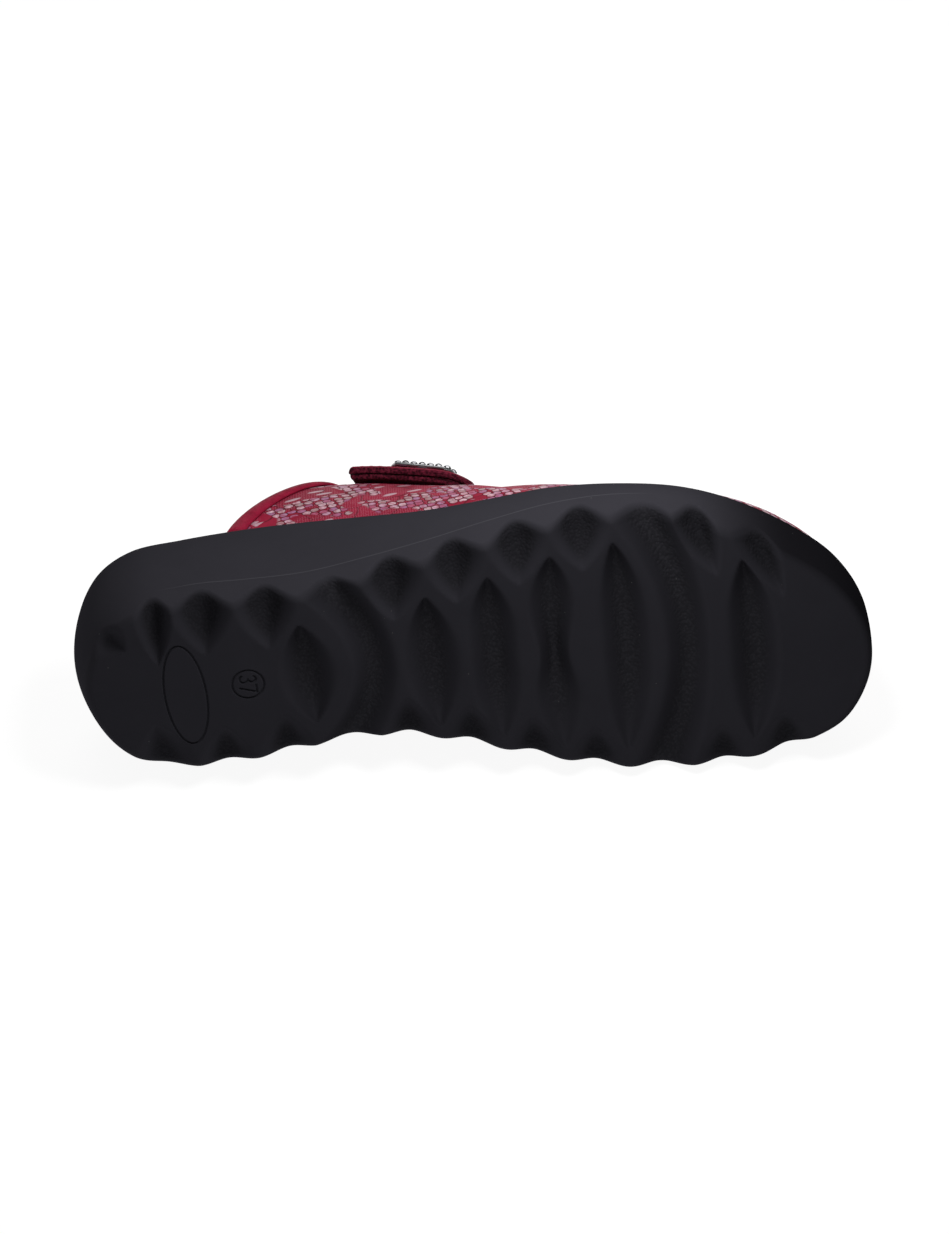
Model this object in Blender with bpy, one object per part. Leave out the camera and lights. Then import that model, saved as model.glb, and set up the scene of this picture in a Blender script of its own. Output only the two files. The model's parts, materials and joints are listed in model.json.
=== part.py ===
"""A right-foot clog of size 37 that lies on its medial side.

Pieces: a moulded outsole with a wave tread, an insole, a hollow leather upper, the binding of its collar,
a hook-and-loop strap over the instep with its hook pad, and a jewelled ornament on the strap.

All sizes are millimetres in the shoe's own frame: +X runs from heel to toe, +Y to the medial side and +Z up
from the tread. MM turns them into metres, and the last step lays the whole shoe on its side.
"""

import math
from collections import namedtuple

import bmesh
import bpy
import numpy as np
from mathutils import Matrix, Vector
from mathutils.geometry import intersect_ray_tri

MM = 0.001
MEDIAL, LATERAL = 1, -1

# Driving dimensions
LENGTH = 252.0
BALL_WIDTH = 94.0
HEEL_HEIGHT = 43.0
INSTEP_HEIGHT = 91.0
FIT_GAP = 0.3

# The last, section by section. along is a share of LENGTH, medial and lateral are the tread's half widths and
# flare the wall's outward lean as shares of BALL_WIDTH, rim is the top of the sole as a share of HEEL_HEIGHT,
# top is the upper's ridge as a share of INSTEP_HEIGHT, and fullness squares off the upper's lateral shoulder.
Section = namedtuple("Section", "along medial lateral flare rim top fullness")
SECTIONS = (
    Section(0.040, 0.222, 0.207, 0.026, 0.87, 1.03, 2.6),
    Section(0.080, 0.306, 0.281, 0.021, 0.89, 1.03, 2.6),
    Section(0.143, 0.336, 0.292, 0.025, 0.935, 1.03, 2.6),
    Section(0.218, 0.324, 0.292, 0.029, 0.99, 1.03, 2.6),
    Section(0.298, 0.293, 0.300, 0.030, 0.99, 1.03, 2.6),
    Section(0.377, 0.283, 0.338, 0.022, 0.885, 0.98, 2.5),
    Section(0.456, 0.318, 0.385, 0.013, 0.755, 0.88, 2.3),
    Section(0.536, 0.382, 0.440, 0.008, 0.65, 0.77, 2.1),
    Section(0.615, 0.446, 0.485, 0.005, 0.58, 0.66, 1.9),
    Section(0.694, 0.492, 0.497, 0.005, 0.51, 0.58, 1.8),
    Section(0.774, 0.504, 0.466, 0.005, 0.50, 0.54, 1.9),
    Section(0.841, 0.490, 0.388, 0.006, 0.525, 0.53, 2.4),
    Section(0.913, 0.452, 0.259, 0.006, 0.555, 0.53, 2.9),
    Section(0.960, 0.394, 0.137, 0.006, 0.575, 0.53, 2.9),
    Section(0.990, 0.272, -0.010, 0.006, 0.58, 0.53, 2.8),
)
HEEL_END = (0.009, 0.010)
TOE_TIP = (0.999, 0.135)

# Outsole
SPINE_HEEL = 34.0
SPINE_TOE = 212.0
EDGE_RADIUS = 2.0
RIM_ROUND = 1.4
RIM_WIDTH = 3.0
WELL_DEPTH = 13.0
WALL_BULGE = 2.4
MEDIAL_TUCK = 4.0
TOE_FLATTENING = 0.75
TUCK_BEGINS = (4.0, 40.0)
TUCK_ENDS = (205.0, 246.0)
TOE_SPRING = 6.0
TOE_SPRING_START = 206.0
WAIST_LIFT = 1.2
WAIST_FROM = 70.0
WAIST_TO = 140.0

# Wave tread: leaf-shaped hollows on a lattice of one pitch. Notches are cut into both edges, pits lie inside
# them and two channels cross from edge to edge. floor is the share of a hollow's width that is flat.
WAVE_PITCH = 20.2
FIRST_CREST = 31.0
LEAN_AT_HEEL = 5.0
LEAN_ENDS_AT = 160.0
Notch = namedtuple("Notch", "reach half_width depth shift")
NOTCHES = (-1, 0, 1, 3, 4, 5, 6, 8, 9)
LATERAL_NOTCH = Notch(17.0, 8.2, 6.6, 0.0)
MEDIAL_NOTCH = Notch(14.0, 7.4, 4.6, 0.0)
ODD_NOTCHES = {
    (-1, LATERAL): Notch(18.0, 7.0, 5.0, 0.0),
    (-1, MEDIAL): Notch(16.5, 8.0, 4.0, -2.0),
    (9, LATERAL): Notch(20.0, 7.0, 5.6, 5.0),
}
NOTCH_FLOOR = 0.15
CHANNELS = (2, 7)
CHANNEL_HALF_WIDTH = 6.4
CHANNEL_DEPTH = 3.8
CHANNEL_BOW = 11.5
CHANNEL_FLARE = 0.4
Pit = namedtuple("Pit", "wave lateral_inset medial_inset half_width bow blunt waist")
PITS = (
    Pit(2, 10.5, 10.5, 7.4, 0.0, 0.75, 0.0),
    Pit(4, 12.5, 5.5, 7.7, 0.0, 0.75, 0.0),
    Pit(5, 12.5, 5.5, 8.4, 0.0, 0.70, 0.22),
    Pit(6, 11.5, 7.0, 9.5, -1.0, 0.65, 0.58),
    Pit(7, 9.5, 8.0, 7.8, 2.2, 0.65, 0.12),
    Pit(9, 9.0, 8.0, 8.0, 2.0, 0.75, 0.15),
)
PIT_DEPTH = 3.8
PIT_TAPER = 0.4
PIT_WAIST_SPREAD = 0.45
PIT_FLOOR = 0.15

# Insole
INSOLE_THICKNESS = 5.5
INSOLE_CUP = 1.6
INSOLE_EDGE = 1.5
UPPER_CLEARANCE = 0.7
INSOLE_STEP_FROM = 38.0
INSOLE_STEP_TO = 47.0

# Upper
UPPER_THICKNESS = 2.4
UPPER_SPINE_TOE = 208.0
RIDGE_SHIFT = 4.0
MEDIAL_FULLNESS = 2.2
COLLAR_RIM_LATERAL = 50.0
COLLAR_RIM_MEDIAL = 54.0
COLLAR_TOP = 87.0
COLLAR_POWER = 1.05

# Binding folded over the collar's edge
BINDING_WIDTH = 5.5
BINDING_THICKNESS = 0.9
BINDING_ENDS = 0.985

# Strap over the instep; around counts from -1 at the lateral rim over 0 on the ridge to 1 at the medial rim
STRAP_REAR = 86.5
STRAP_FRONT = 130.0
STRAP_CROWN = 7.8
STRAP_THICKNESS = 2.4
STRAP_EDGE = 0.9
STRAP_FREE_END = -0.50
STRAP_SEWN_END = 0.93
STRAP_END_STRAIGHT = 0.55
STRAP_END_ROUND = 0.16
STRAP_REAR_ROUND = 0.02
STRAP_END_LIFT = 1.2
STRAP_LIFT_LENGTH = 0.42
HOOK_PAD_THICKNESS = 1.6
HOOK_PAD_INSET = 0.3
HOOK_PAD_FROM = -0.47
HOOK_PAD_TO = -0.18

# Ornament on the strap
ORNAMENT_X = 114.0
ORNAMENT_AROUND = -0.315
ORNAMENT_LENGTH = 23.0
ORNAMENT_DEPTH = 15.0
ORNAMENT_CORNER = 4.5
ORNAMENT_THICKNESS = 1.2
ORNAMENT_BEVEL = 0.3
ORNAMENT_CLEARANCE = 0.9
STONE_COUNT = 20
STONE_RADIUS = 1.15
STONE_TABLE = 0.68
STONE_HEIGHT = 1.2
STONE_FACETS = 6
STONE_INSET = 1.6

# Mesh counts
OUTSOLE_STEPS = 112
TREAD_RINGS = 10
INSOLE_STEPS = 40
UPPER_STEPS = 26
UPPER_RISE_STEPS = 8
COLLAR_STEPS = 11
STRAP_STEPS = 14
STRAP_WIDTH_STEPS = 5

# Densities in grams per cubic millimetre, for the shoe's balance
DENSITY = {"outsole": 0.00048, "insole": 0.0004, "upper": 0.0009, "ornament_plate": 0.0067}
OTHER_DENSITY = 0.0009


def smoothstep(low, high, value):
    share = np.clip((np.asarray(value, float) - low) / (high - low), 0.0, 1.0)
    return share * share * (3.0 - 2.0 * share)


def hermite(stations, values, at):
    """Smooth curve through the values at the stations, held level past both ends."""
    stations, values = np.asarray(stations, float), np.asarray(values, float)
    at = np.clip(np.asarray(at, float), stations[0], stations[-1])
    slopes = np.gradient(values, stations)
    i = np.clip(np.searchsorted(stations, at) - 1, 0, len(stations) - 2)
    step = stations[i + 1] - stations[i]
    t = (at - stations[i]) / step
    rise = (2 * t**3 - 3 * t**2 + 1) * values[i] + (3 * t**2 - 2 * t**3) * values[i + 1]
    return rise + step * ((t**3 - 2 * t**2 + t) * slopes[i] + (t**3 - t**2) * slopes[i + 1])


def column(name, scale, x):
    """A column of the section table at any place along the shoe."""
    stations = [row.along * LENGTH for row in SECTIONS]
    return hermite(stations, [getattr(row, name) * scale for row in SECTIONS], x)


def flare(x, side):
    """How far the rim stands out past the tread; the medial wall tapers in between heel and toe."""
    tuck = MEDIAL_TUCK * smoothstep(*TUCK_BEGINS, x) * (1.0 - smoothstep(*TUCK_ENDS, x))
    return column("flare", BALL_WIDTH, x) - tuck * (np.asarray(side) == MEDIAL)


def rim_height(x):
    return column("rim", HEEL_HEIGHT, x)


def well_floor(x):
    return rim_height(x) - WELL_DEPTH


def ridge_height(x):
    return column("top", INSTEP_HEIGHT, x)


def trace_outline():
    """The tread's outline as one closed curve, split into a medial and a lateral half from heel to toe."""
    medial = [(row.along * LENGTH, row.medial * BALL_WIDTH) for row in SECTIONS]
    lateral = [(row.along * LENGTH, -row.lateral * BALL_WIDTH) for row in SECTIONS]
    heel = (HEEL_END[0] * LENGTH, HEEL_END[1] * BALL_WIDTH)
    toe = (TOE_TIP[0] * LENGTH, TOE_TIP[1] * BALL_WIDTH)
    knots = np.array([heel, *medial, toe, *lateral[::-1]])
    count = len(knots)
    wrapped = np.vstack([knots[-3:], knots, knots[:4]])
    chord = np.concatenate([[0.0], np.cumsum(np.linalg.norm(np.diff(wrapped, axis=0), axis=1) ** 0.7)])
    dense = np.linspace(chord[3], chord[3 + count], 4001)
    points = np.stack([hermite(chord, wrapped[:, axis], dense) for axis in (0, 1)], axis=1)
    toe_index = int(np.argmin(np.linalg.norm(points - knots[1 + len(SECTIONS)], axis=1)))
    return {MEDIAL: points[: toe_index + 1], LATERAL: points[toe_index:][::-1]}


def measure_half(points, side):
    """A half outline with its share of length and outward normal at each point."""
    length = np.concatenate([[0.0], np.cumsum(np.linalg.norm(np.diff(points, axis=0), axis=1))])
    tangent = np.gradient(points, axis=0)
    normal = np.stack([-tangent[:, 1], tangent[:, 0]], axis=1) * side
    normal /= np.linalg.norm(normal, axis=1, keepdims=True)
    normal[0] = (-1.0, 0.0)
    normal[-1] = (1.0, 0.0)
    return length / length[-1], points, normal


HALVES = {side: measure_half(points, side) for side, points in trace_outline().items()}


def half_point(side, share, outward=0.0):
    """Plan point on a half outline, moved outward; share runs from the heel end to the toe tip."""
    shares, points, normals = HALVES[side]
    x, y, nx, ny = (np.interp(share, shares, values) for values in (*points.T, *normals.T))
    size = np.hypot(nx, ny)
    return np.stack([x + outward * nx / size, y + outward * ny / size], axis=-1)


def middle(share):
    return (half_point(MEDIAL, share) + half_point(LATERAL, share)) / 2


def spine(share, heel_end, toe_end):
    """Plan point midway between the halves, stopped short of both ends so that the ends fan out from it."""
    shares = np.linspace(0.0, 1.0, 201)
    line = middle(shares)
    x = np.clip(middle(share)[..., 0], heel_end, toe_end)
    return np.stack([x, np.interp(x, line[:, 0], line[:, 1])], axis=-1)


def share_at(side, x):
    """Share of the half outline at which it passes a place along the shoe."""
    shares, points, _ = HALVES[side]
    return np.interp(x, points[:, 0], shares)


Loop = namedtuple("Loop", "shares sides")


def make_loop(steps):
    """Samples of the whole outline: up the medial half from the heel end and back down the lateral half."""
    shares = np.concatenate([np.arange(steps + 1), np.arange(steps - 1, 0, -1)]) / steps
    return Loop(shares, np.array([MEDIAL] * (steps + 1) + [LATERAL] * (steps - 1)))


def ring(loop, outward):
    """The outline as a ring of plan points, moved outward by one value or by one for each point."""
    outward = np.broadcast_to(outward, loop.shares.shape)
    points = np.empty((len(loop.shares), 2))
    for side in (MEDIAL, LATERAL):
        chosen = loop.sides == side
        points[chosen] = half_point(side, loop.shares[chosen], outward[chosen])
    return points


def raised(plan, height):
    """Plan points with a height each, as points in space."""
    return np.column_stack([plan, np.broadcast_to(height, len(plan))])


def leaf(points, tip, tail, half_width, depth, floor, blunt=1.0, taper=1.0, bow=0.0, waist=0.0):
    """Depth of a leaf-shaped hollow between two tips. It may bow sideways and draw in at its middle."""
    tip, tail = np.asarray(tip, float), np.asarray(tail, float)
    axis = tail - tip
    length = np.linalg.norm(axis)
    axis /= length
    along = np.clip(2.0 * ((points - tip) @ axis) / length - 1.0, -1.0, 1.0)
    belly = 1.0 - along**2
    offset = (points - tip) @ np.array([-axis[1], axis[0]]) - bow * belly
    width = half_width * belly**blunt * (1.0 - waist * np.exp(-((along / PIT_WAIST_SPREAD) ** 2)))
    return depth * belly**taper * (1.0 - smoothstep(floor, 1.0, np.abs(offset) / np.maximum(width, 1e-6)))


def channel(points, mouth, far_mouth):
    """Depth of a channel that runs from edge to edge in a bow and opens out towards its mouths."""
    along = np.clip(2.0 * (points[:, 1] - mouth[1]) / (far_mouth[1] - mouth[1]) - 1.0, -1.2, 1.2)
    line = mouth[0] + (far_mouth[0] - mouth[0]) * (along + 1.0) / 2.0 + CHANNEL_BOW * (1.0 - along**2)
    opened = 1.0 + CHANNEL_FLARE * along**2
    reach = np.abs(points[:, 0] - line) / (CHANNEL_HALF_WIDTH * opened)
    return CHANNEL_DEPTH * opened * (1.0 - smoothstep(PIT_FLOOR, 1.0, reach))


def edge_y(side, x):
    return float(half_point(side, share_at(side, x))[1])


def lean(x):
    """How far forward a wave's medial end lies from its lateral end."""
    return LEAN_AT_HEEL * max(0.0, 1.0 - x / LEAN_ENDS_AT)


def edge_place(wave, side):
    """Place on the edge halfway between two crests of the lattice."""
    x = FIRST_CREST + (wave + 0.5) * WAVE_PITCH
    if side == MEDIAL:
        x += lean(x)
    return x, edge_y(side, x)


def notch_ends(wave, side, notch):
    """Tip inside the tread and tail outside it for a notch in an edge."""
    place = np.array(edge_place(wave, side))
    inward = np.array([notch.shift, -side * notch.reach])
    return place + inward, place - inward


def hollows(points):
    """Depth of the wave tread at plan points: notches at both edges, pits between them and two channels."""
    found = np.zeros(len(points))
    for side, usual in ((LATERAL, LATERAL_NOTCH), (MEDIAL, MEDIAL_NOTCH)):
        for wave in NOTCHES:
            notch = ODD_NOTCHES.get((wave, side), usual)
            ends = notch_ends(wave, side, notch)
            found = np.maximum(found, leaf(points, *ends, notch.half_width, notch.depth, NOTCH_FLOOR))
    for pit in PITS:
        x = FIRST_CREST + pit.wave * WAVE_PITCH
        tip = (x, edge_y(LATERAL, x) + pit.lateral_inset)
        tail = (x + lean(x), edge_y(MEDIAL, x) - pit.medial_inset)
        pressed = leaf(points, tip, tail, pit.half_width, PIT_DEPTH, PIT_FLOOR, pit.blunt, PIT_TAPER,
                       -pit.bow, pit.waist)
        found = np.maximum(found, pressed)
    for wave in CHANNELS:
        found = np.maximum(found, channel(points, edge_place(wave, LATERAL), edge_place(wave, MEDIAL)))
    return found


def tread_height(points):
    """Height of the tread over the ground: flat at heel and ball, lifted at waist and toe, and hollowed."""
    x = points[:, 0]
    spring = np.clip((x - TOE_SPRING_START) / (LENGTH - TOE_SPRING_START), 0.0, None) ** 2 * TOE_SPRING
    half_waist = (WAIST_TO - WAIST_FROM) / 2
    waist = np.clip(1.0 - ((x - WAIST_FROM) / half_waist - 1.0) ** 2, 0.0, None) ** 2 * WAIST_LIFT
    return spring + waist + hollows(points)


def material(name, colour, roughness, metallic=0.0):
    made = bpy.data.materials.new(name)
    made.use_nodes = True
    shader = made.node_tree.nodes["Principled BSDF"]
    shader.inputs["Base Color"].default_value = (*colour, 1.0)
    shader.inputs["Roughness"].default_value = roughness
    shader.inputs["Metallic"].default_value = metallic
    return made


def finish(name, mesh, finish_material, parent):
    """Turns a bmesh in metres into a smooth-shaded object under the shoe's empty."""
    data = bpy.data.meshes.new(name)
    mesh.to_mesh(data)
    mesh.free()
    data.shade_smooth()
    data.set_sharp_from_angle(angle=math.radians(50))
    data.materials.append(finish_material)
    made = bpy.data.objects.new(name, data)
    bpy.context.scene.collection.objects.link(made)
    made.parent = parent
    return made


def skin(rings, capped):
    """Skins a stack of equal rings. End rings are capped, or welded shut where they fold onto a line."""
    mesh = bmesh.new()
    rows = [[mesh.verts.new(point * MM) for point in ring] for ring in rings]
    for low, high in zip(rows, rows[1:]):
        for j in range(len(low)):
            k = (j + 1) % len(low)
            mesh.faces.new((low[j], low[k], high[k], high[j]))
    if capped:
        mesh.faces.new(rows[0][::-1])
        mesh.faces.new(rows[-1])
    else:
        bmesh.ops.remove_doubles(mesh, verts=mesh.verts, dist=1e-6)
    bmesh.ops.recalc_face_normals(mesh, faces=mesh.faces)
    return mesh


def wall_lean(x, side, height):
    """How far the sole's wall stands out past the tread's outline at a height: it leans and bulges."""
    share = np.clip(height / rim_height(x), 0.0, 1.0)
    bulge = WALL_BULGE * (1.0 - TOE_FLATTENING * smoothstep(*TUCK_ENDS, x))
    return flare(x, side) * share + 4.0 * bulge * share * (1.0 - share)


def make_outsole(parent):
    """Tread, edge, wall, rim and well as one stack of rings from the tread's spine to the well's spine."""
    loop = make_loop(OUTSOLE_STEPS)
    core = spine(loop.shares, SPINE_HEEL, SPINE_TOE)
    edge = ring(loop, 0.0)
    x = edge[:, 0]
    rim = rim_height(x)
    foot = tread_height(edge)
    inner = ring(loop, -EDGE_RADIUS)
    rings = []
    for share in np.linspace(0.0, 1.0, TREAD_RINGS):
        plan = core + (inner - core) * share
        rings.append(raised(plan, tread_height(plan)))
    for turn in (45.0, 90.0):
        inset = EDGE_RADIUS * (1.0 - math.sin(math.radians(turn)))
        rise = EDGE_RADIUS * (1.0 - math.cos(math.radians(turn)))
        height = tread_height(ring(loop, -inset)) + rise
        rings.append(raised(ring(loop, wall_lean(x, loop.sides, height) - inset), height))
    for share in (0.33, 0.67, 1.0):
        height = (foot + EDGE_RADIUS) * (1 - share) + (rim - RIM_ROUND) * share
        rings.append(raised(ring(loop, wall_lean(x, loop.sides, height)), height))
    rings.append(raised(ring(loop, flare(x, loop.sides) - RIM_ROUND), rim))
    well = ring(loop, flare(x, loop.sides) - RIM_WIDTH)
    rings.append(raised(well, rim))
    rings.append(raised(well, well_floor(x)))
    rings.append(raised(core, well_floor(core[:, 0])))
    rubber = material("black_foam_rubber", (0.016, 0.016, 0.018), 0.55)
    return finish("outsole", skin(rings, capped=False), rubber, parent)


def make_insole(parent):
    """A cupped footbed that fills the well, stepped in where the upper's edge goes down beside it."""
    loop = make_loop(INSOLE_STEPS)
    core = spine(loop.shares, SPINE_HEEL, SPINE_TOE)
    x = ring(loop, 0.0)[:, 0]
    beside_upper = smoothstep(INSOLE_STEP_FROM, INSOLE_STEP_TO, x)
    outward = flare(x, loop.sides) - RIM_WIDTH - FIT_GAP - beside_upper * (UPPER_THICKNESS + UPPER_CLEARANCE)
    border = ring(loop, outward)
    inner = ring(loop, outward - INSOLE_EDGE)
    base = well_floor(x) + FIT_GAP
    rings = [raised(core, well_floor(core[:, 0]) + FIT_GAP), raised(border, base)]
    rings.append(raised(border, base + INSOLE_THICKNESS + INSOLE_CUP - INSOLE_EDGE))
    for share in (1.0, 0.66, 0.33, 0.0):
        plan = core + (inner - core) * share
        height = well_floor(plan[:, 0]) + FIT_GAP + INSOLE_THICKNESS + INSOLE_CUP * share**2
        rings.append(raised(plan, height))
    lining = material("insole_leather", (0.30, 0.20, 0.13), 0.7)
    return finish("insole", skin(rings, capped=False), lining, parent)


def upper_point(share, around, offset=0.0):
    """Outer surface of the upper. around is -1 at the lateral rim, 0 on the ridge and 1 at the medial rim."""
    if offset:
        step = 2e-3
        along = upper_point(share + step, around) - upper_point(share - step, around)
        across = upper_point(share, around + step) - upper_point(share, around - step)
        normal = np.cross(along, across)
        return upper_point(share, around) + normal * offset / np.linalg.norm(normal)
    side = MEDIAL if around > 0 else LATERAL
    start = half_point(side, share)
    rim = float(rim_height(start[0]))
    base = half_point(side, share, float(flare(start[0], side)) - RIM_WIDTH - FIT_GAP)
    crown = spine(np.asarray(share), SPINE_HEEL, UPPER_SPINE_TOE) + np.array([0.0, RIDGE_SHIFT])
    angle = (1.0 - min(abs(around), 1.0)) * math.pi / 2
    power = 2.0 / (MEDIAL_FULLNESS if side == MEDIAL else float(column("fullness", 1.0, start[0])))
    plan = crown + (base - crown) * max(math.cos(angle), 0.0) ** power
    height = rim + (float(ridge_height(crown[0])) - rim) * math.sin(angle) ** power
    return np.array([*plan, height - max(abs(around) - 1.0, 0.0) * WELL_DEPTH])


def collar_share(around):
    """Where along the shoe the upper begins, at each place around it."""
    side, rim_x = (MEDIAL, COLLAR_RIM_MEDIAL) if around > 0 else (LATERAL, COLLAR_RIM_LATERAL)
    low = share_at(side, rim_x)
    lines = np.linspace(0.0, 1.0, 401)
    top = np.interp(COLLAR_TOP, middle(lines)[:, 0], lines)
    rise = math.sin((1.0 - min(abs(around), 1.0)) * math.pi / 2) ** COLLAR_POWER
    return float(low + (top - low) * rise)


def make_upper(parent):
    """One sheet from rim to rim over the ridge, welded shut at the toe, with its wall given inward."""
    skirt = 1.0 - FIT_GAP / WELL_DEPTH
    rise = [k / UPPER_RISE_STEPS for k in range(1, UPPER_RISE_STEPS + 1)]
    arounds = [-1.0 - skirt, *[-share for share in rise[::-1]], 0.0, *rise, 1.0 + skirt]
    mesh = bmesh.new()
    rows = []
    for i in range(UPPER_STEPS + 1):
        row = []
        for around in arounds:
            start = collar_share(around)
            share = start + (1.0 - start) * i / UPPER_STEPS
            row.append(mesh.verts.new(upper_point(share, around) * MM))
        rows.append(row)
    for back, front in zip(rows, rows[1:]):
        for k in range(len(arounds) - 1):
            mesh.faces.new((back[k], front[k], front[k + 1], back[k + 1]))
    bmesh.ops.remove_doubles(mesh, verts=mesh.verts, dist=1e-6)
    bmesh.ops.dissolve_degenerate(mesh, edges=mesh.edges, dist=1e-7)
    leather = material("printed_leather", (0.42, 0.03, 0.07), 0.5)
    made = finish("upper", mesh, leather, parent)
    wall = made.modifiers.new("wall", "SOLIDIFY")
    wall.thickness = UPPER_THICKNESS * MM
    wall.offset = -1.0
    wall.use_even_offset = True
    return made


def make_binding(parent):
    """A strip folded over the collar's edge: its outer leg, the fold past the edge and its inner leg."""
    outside = FIT_GAP + BINDING_THICKNESS
    inside = -UPPER_THICKNESS - FIT_GAP - BINDING_THICKNESS
    skin_in = -UPPER_THICKNESS - FIT_GAP
    half_length = sum(np.linalg.norm(np.diff(HALVES[LATERAL][1], axis=0), axis=1))
    reach = BINDING_WIDTH / half_length
    over = (FIT_GAP + BINDING_THICKNESS) / half_length
    clear = FIT_GAP / half_length
    profile = (
        (reach, FIT_GAP), (reach, outside), (0.0, outside), (-over, outside * 0.4),
        (-over, inside * 0.75), (0.0, inside), (reach, inside), (reach, skin_in),
        (-clear, skin_in), (-clear, FIT_GAP),
    )
    rings = []
    for k in range(-COLLAR_STEPS, COLLAR_STEPS + 1):
        around = BINDING_ENDS * k / COLLAR_STEPS
        start = collar_share(around)
        rings.append(np.array([upper_point(start + along, around, off) for along, off in profile]))
    plain = material("binding_leather", (0.40, 0.015, 0.05), 0.55)
    return finish("collar_binding", skin(rings, capped=True), plain, parent)


def strap_lift(around):
    """Height of the strap's underside over the upper, which grows towards the free end."""
    free = 1.0 - smoothstep(STRAP_FREE_END, STRAP_FREE_END + STRAP_LIFT_LENGTH, around)
    over_pad = 1.0 - smoothstep(HOOK_PAD_TO - 0.02, HOOK_PAD_TO + 0.12, around)
    return FIT_GAP + over_pad * (HOOK_PAD_THICKNESS + FIT_GAP) + STRAP_END_LIFT * float(free) ** 2


def strap_section(around_of, low, high, inset):
    """Closed ring across a strip on the strap's line between two offsets from the upper, with round edges."""
    edge = STRAP_EDGE / (STRAP_FRONT - STRAP_REAR)
    across = [edge + (1 - 2 * edge) * i / STRAP_WIDTH_STEPS for i in range(STRAP_WIDTH_STEPS + 1)]
    half = 0.5
    profile = [(0.0, half), *[(c, 1.0) for c in across], (1.0, half), *[(c, 0.0) for c in across[::-1]]]
    ring = []
    for place, level in profile:
        around = around_of(place)
        rear = STRAP_REAR + inset + STRAP_CROWN * math.cos(around * math.pi / 2) ** 2
        share = float(share_at(LATERAL, rear + (STRAP_FRONT - inset - rear) * place))
        bottom, top = low(around), high(around)
        ring.append(upper_point(share, around, bottom + (top - bottom) * level))
    return np.array(ring)


def free_end(place):
    """The strap's end line across its width: its front corner is rounded off most."""
    front = max(0.0, place - STRAP_END_STRAIGHT) / (1.0 - STRAP_END_STRAIGHT)
    return STRAP_FREE_END + STRAP_END_ROUND * front**2 + STRAP_REAR_ROUND * (1 - place) ** 6


def make_strap(parent):
    """A band over the instep, sewn down on the medial side, whose lateral end stands free."""
    def around_at(step):
        return lambda place: free_end(place) + (STRAP_SEWN_END - free_end(place)) * step / STRAP_STEPS

    rings = [
        strap_section(around_at(step), strap_lift, lambda a: strap_lift(a) + STRAP_THICKNESS, 0.0)
        for step in range(STRAP_STEPS + 1)
    ]
    leather = material("strap_leather", (0.42, 0.03, 0.07), 0.5)
    return finish("strap", skin(rings, capped=True), leather, parent)


def make_hook_pad(parent):
    """Hook tape under the strap's free end."""
    steps = 5

    def around_at(step):
        return lambda place: (
            HOOK_PAD_FROM + free_end(place) - STRAP_FREE_END
            + (HOOK_PAD_TO - HOOK_PAD_FROM - free_end(place) + STRAP_FREE_END) * step / steps
        )

    rings = [
        strap_section(
            around_at(step),
            lambda a: strap_lift(a) - FIT_GAP - HOOK_PAD_THICKNESS,
            lambda a: strap_lift(a) - FIT_GAP,
            HOOK_PAD_INSET,
        )
        for step in range(steps + 1)
    ]
    tape = material("hook_tape", (0.06, 0.008, 0.015), 0.9)
    return finish("strap_hook_pad", skin(rings, capped=True), tape, parent)


def ornament_frame():
    """Place and axes of the ornament on the strap: along the shoe, up the strap and outward."""
    share = float(share_at(LATERAL, ORNAMENT_X))
    seat = strap_lift(ORNAMENT_AROUND) + STRAP_THICKNESS + ORNAMENT_CLEARANCE
    centre = upper_point(share, ORNAMENT_AROUND, seat)
    ahead = upper_point(share + 0.01, ORNAMENT_AROUND, seat) - centre
    ahead /= np.linalg.norm(ahead)
    out = centre - upper_point(share, ORNAMENT_AROUND, seat - 0.5)
    out -= ahead * (out @ ahead)
    out /= np.linalg.norm(out)
    return centre, ahead, np.cross(out, ahead), out


def rounded_rectangle(length, depth, corner, steps=5):
    """Plan points of a rectangle with round corners, counter-clockwise."""
    points = []
    for quarter in range(4):
        sx, sy = ((1, 1), (-1, 1), (-1, -1), (1, -1))[quarter]
        for k in range(steps + 1):
            angle = (quarter + k / steps) * math.pi / 2
            points.append((sx * (length / 2 - corner) + corner * math.cos(angle),
                           sy * (depth / 2 - corner) + corner * math.sin(angle)))
    return points


def placed(frame, points, height):
    centre, ahead, up, out = frame
    return np.array([centre + ahead * px + up * py + out * height for px, py in points])


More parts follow.
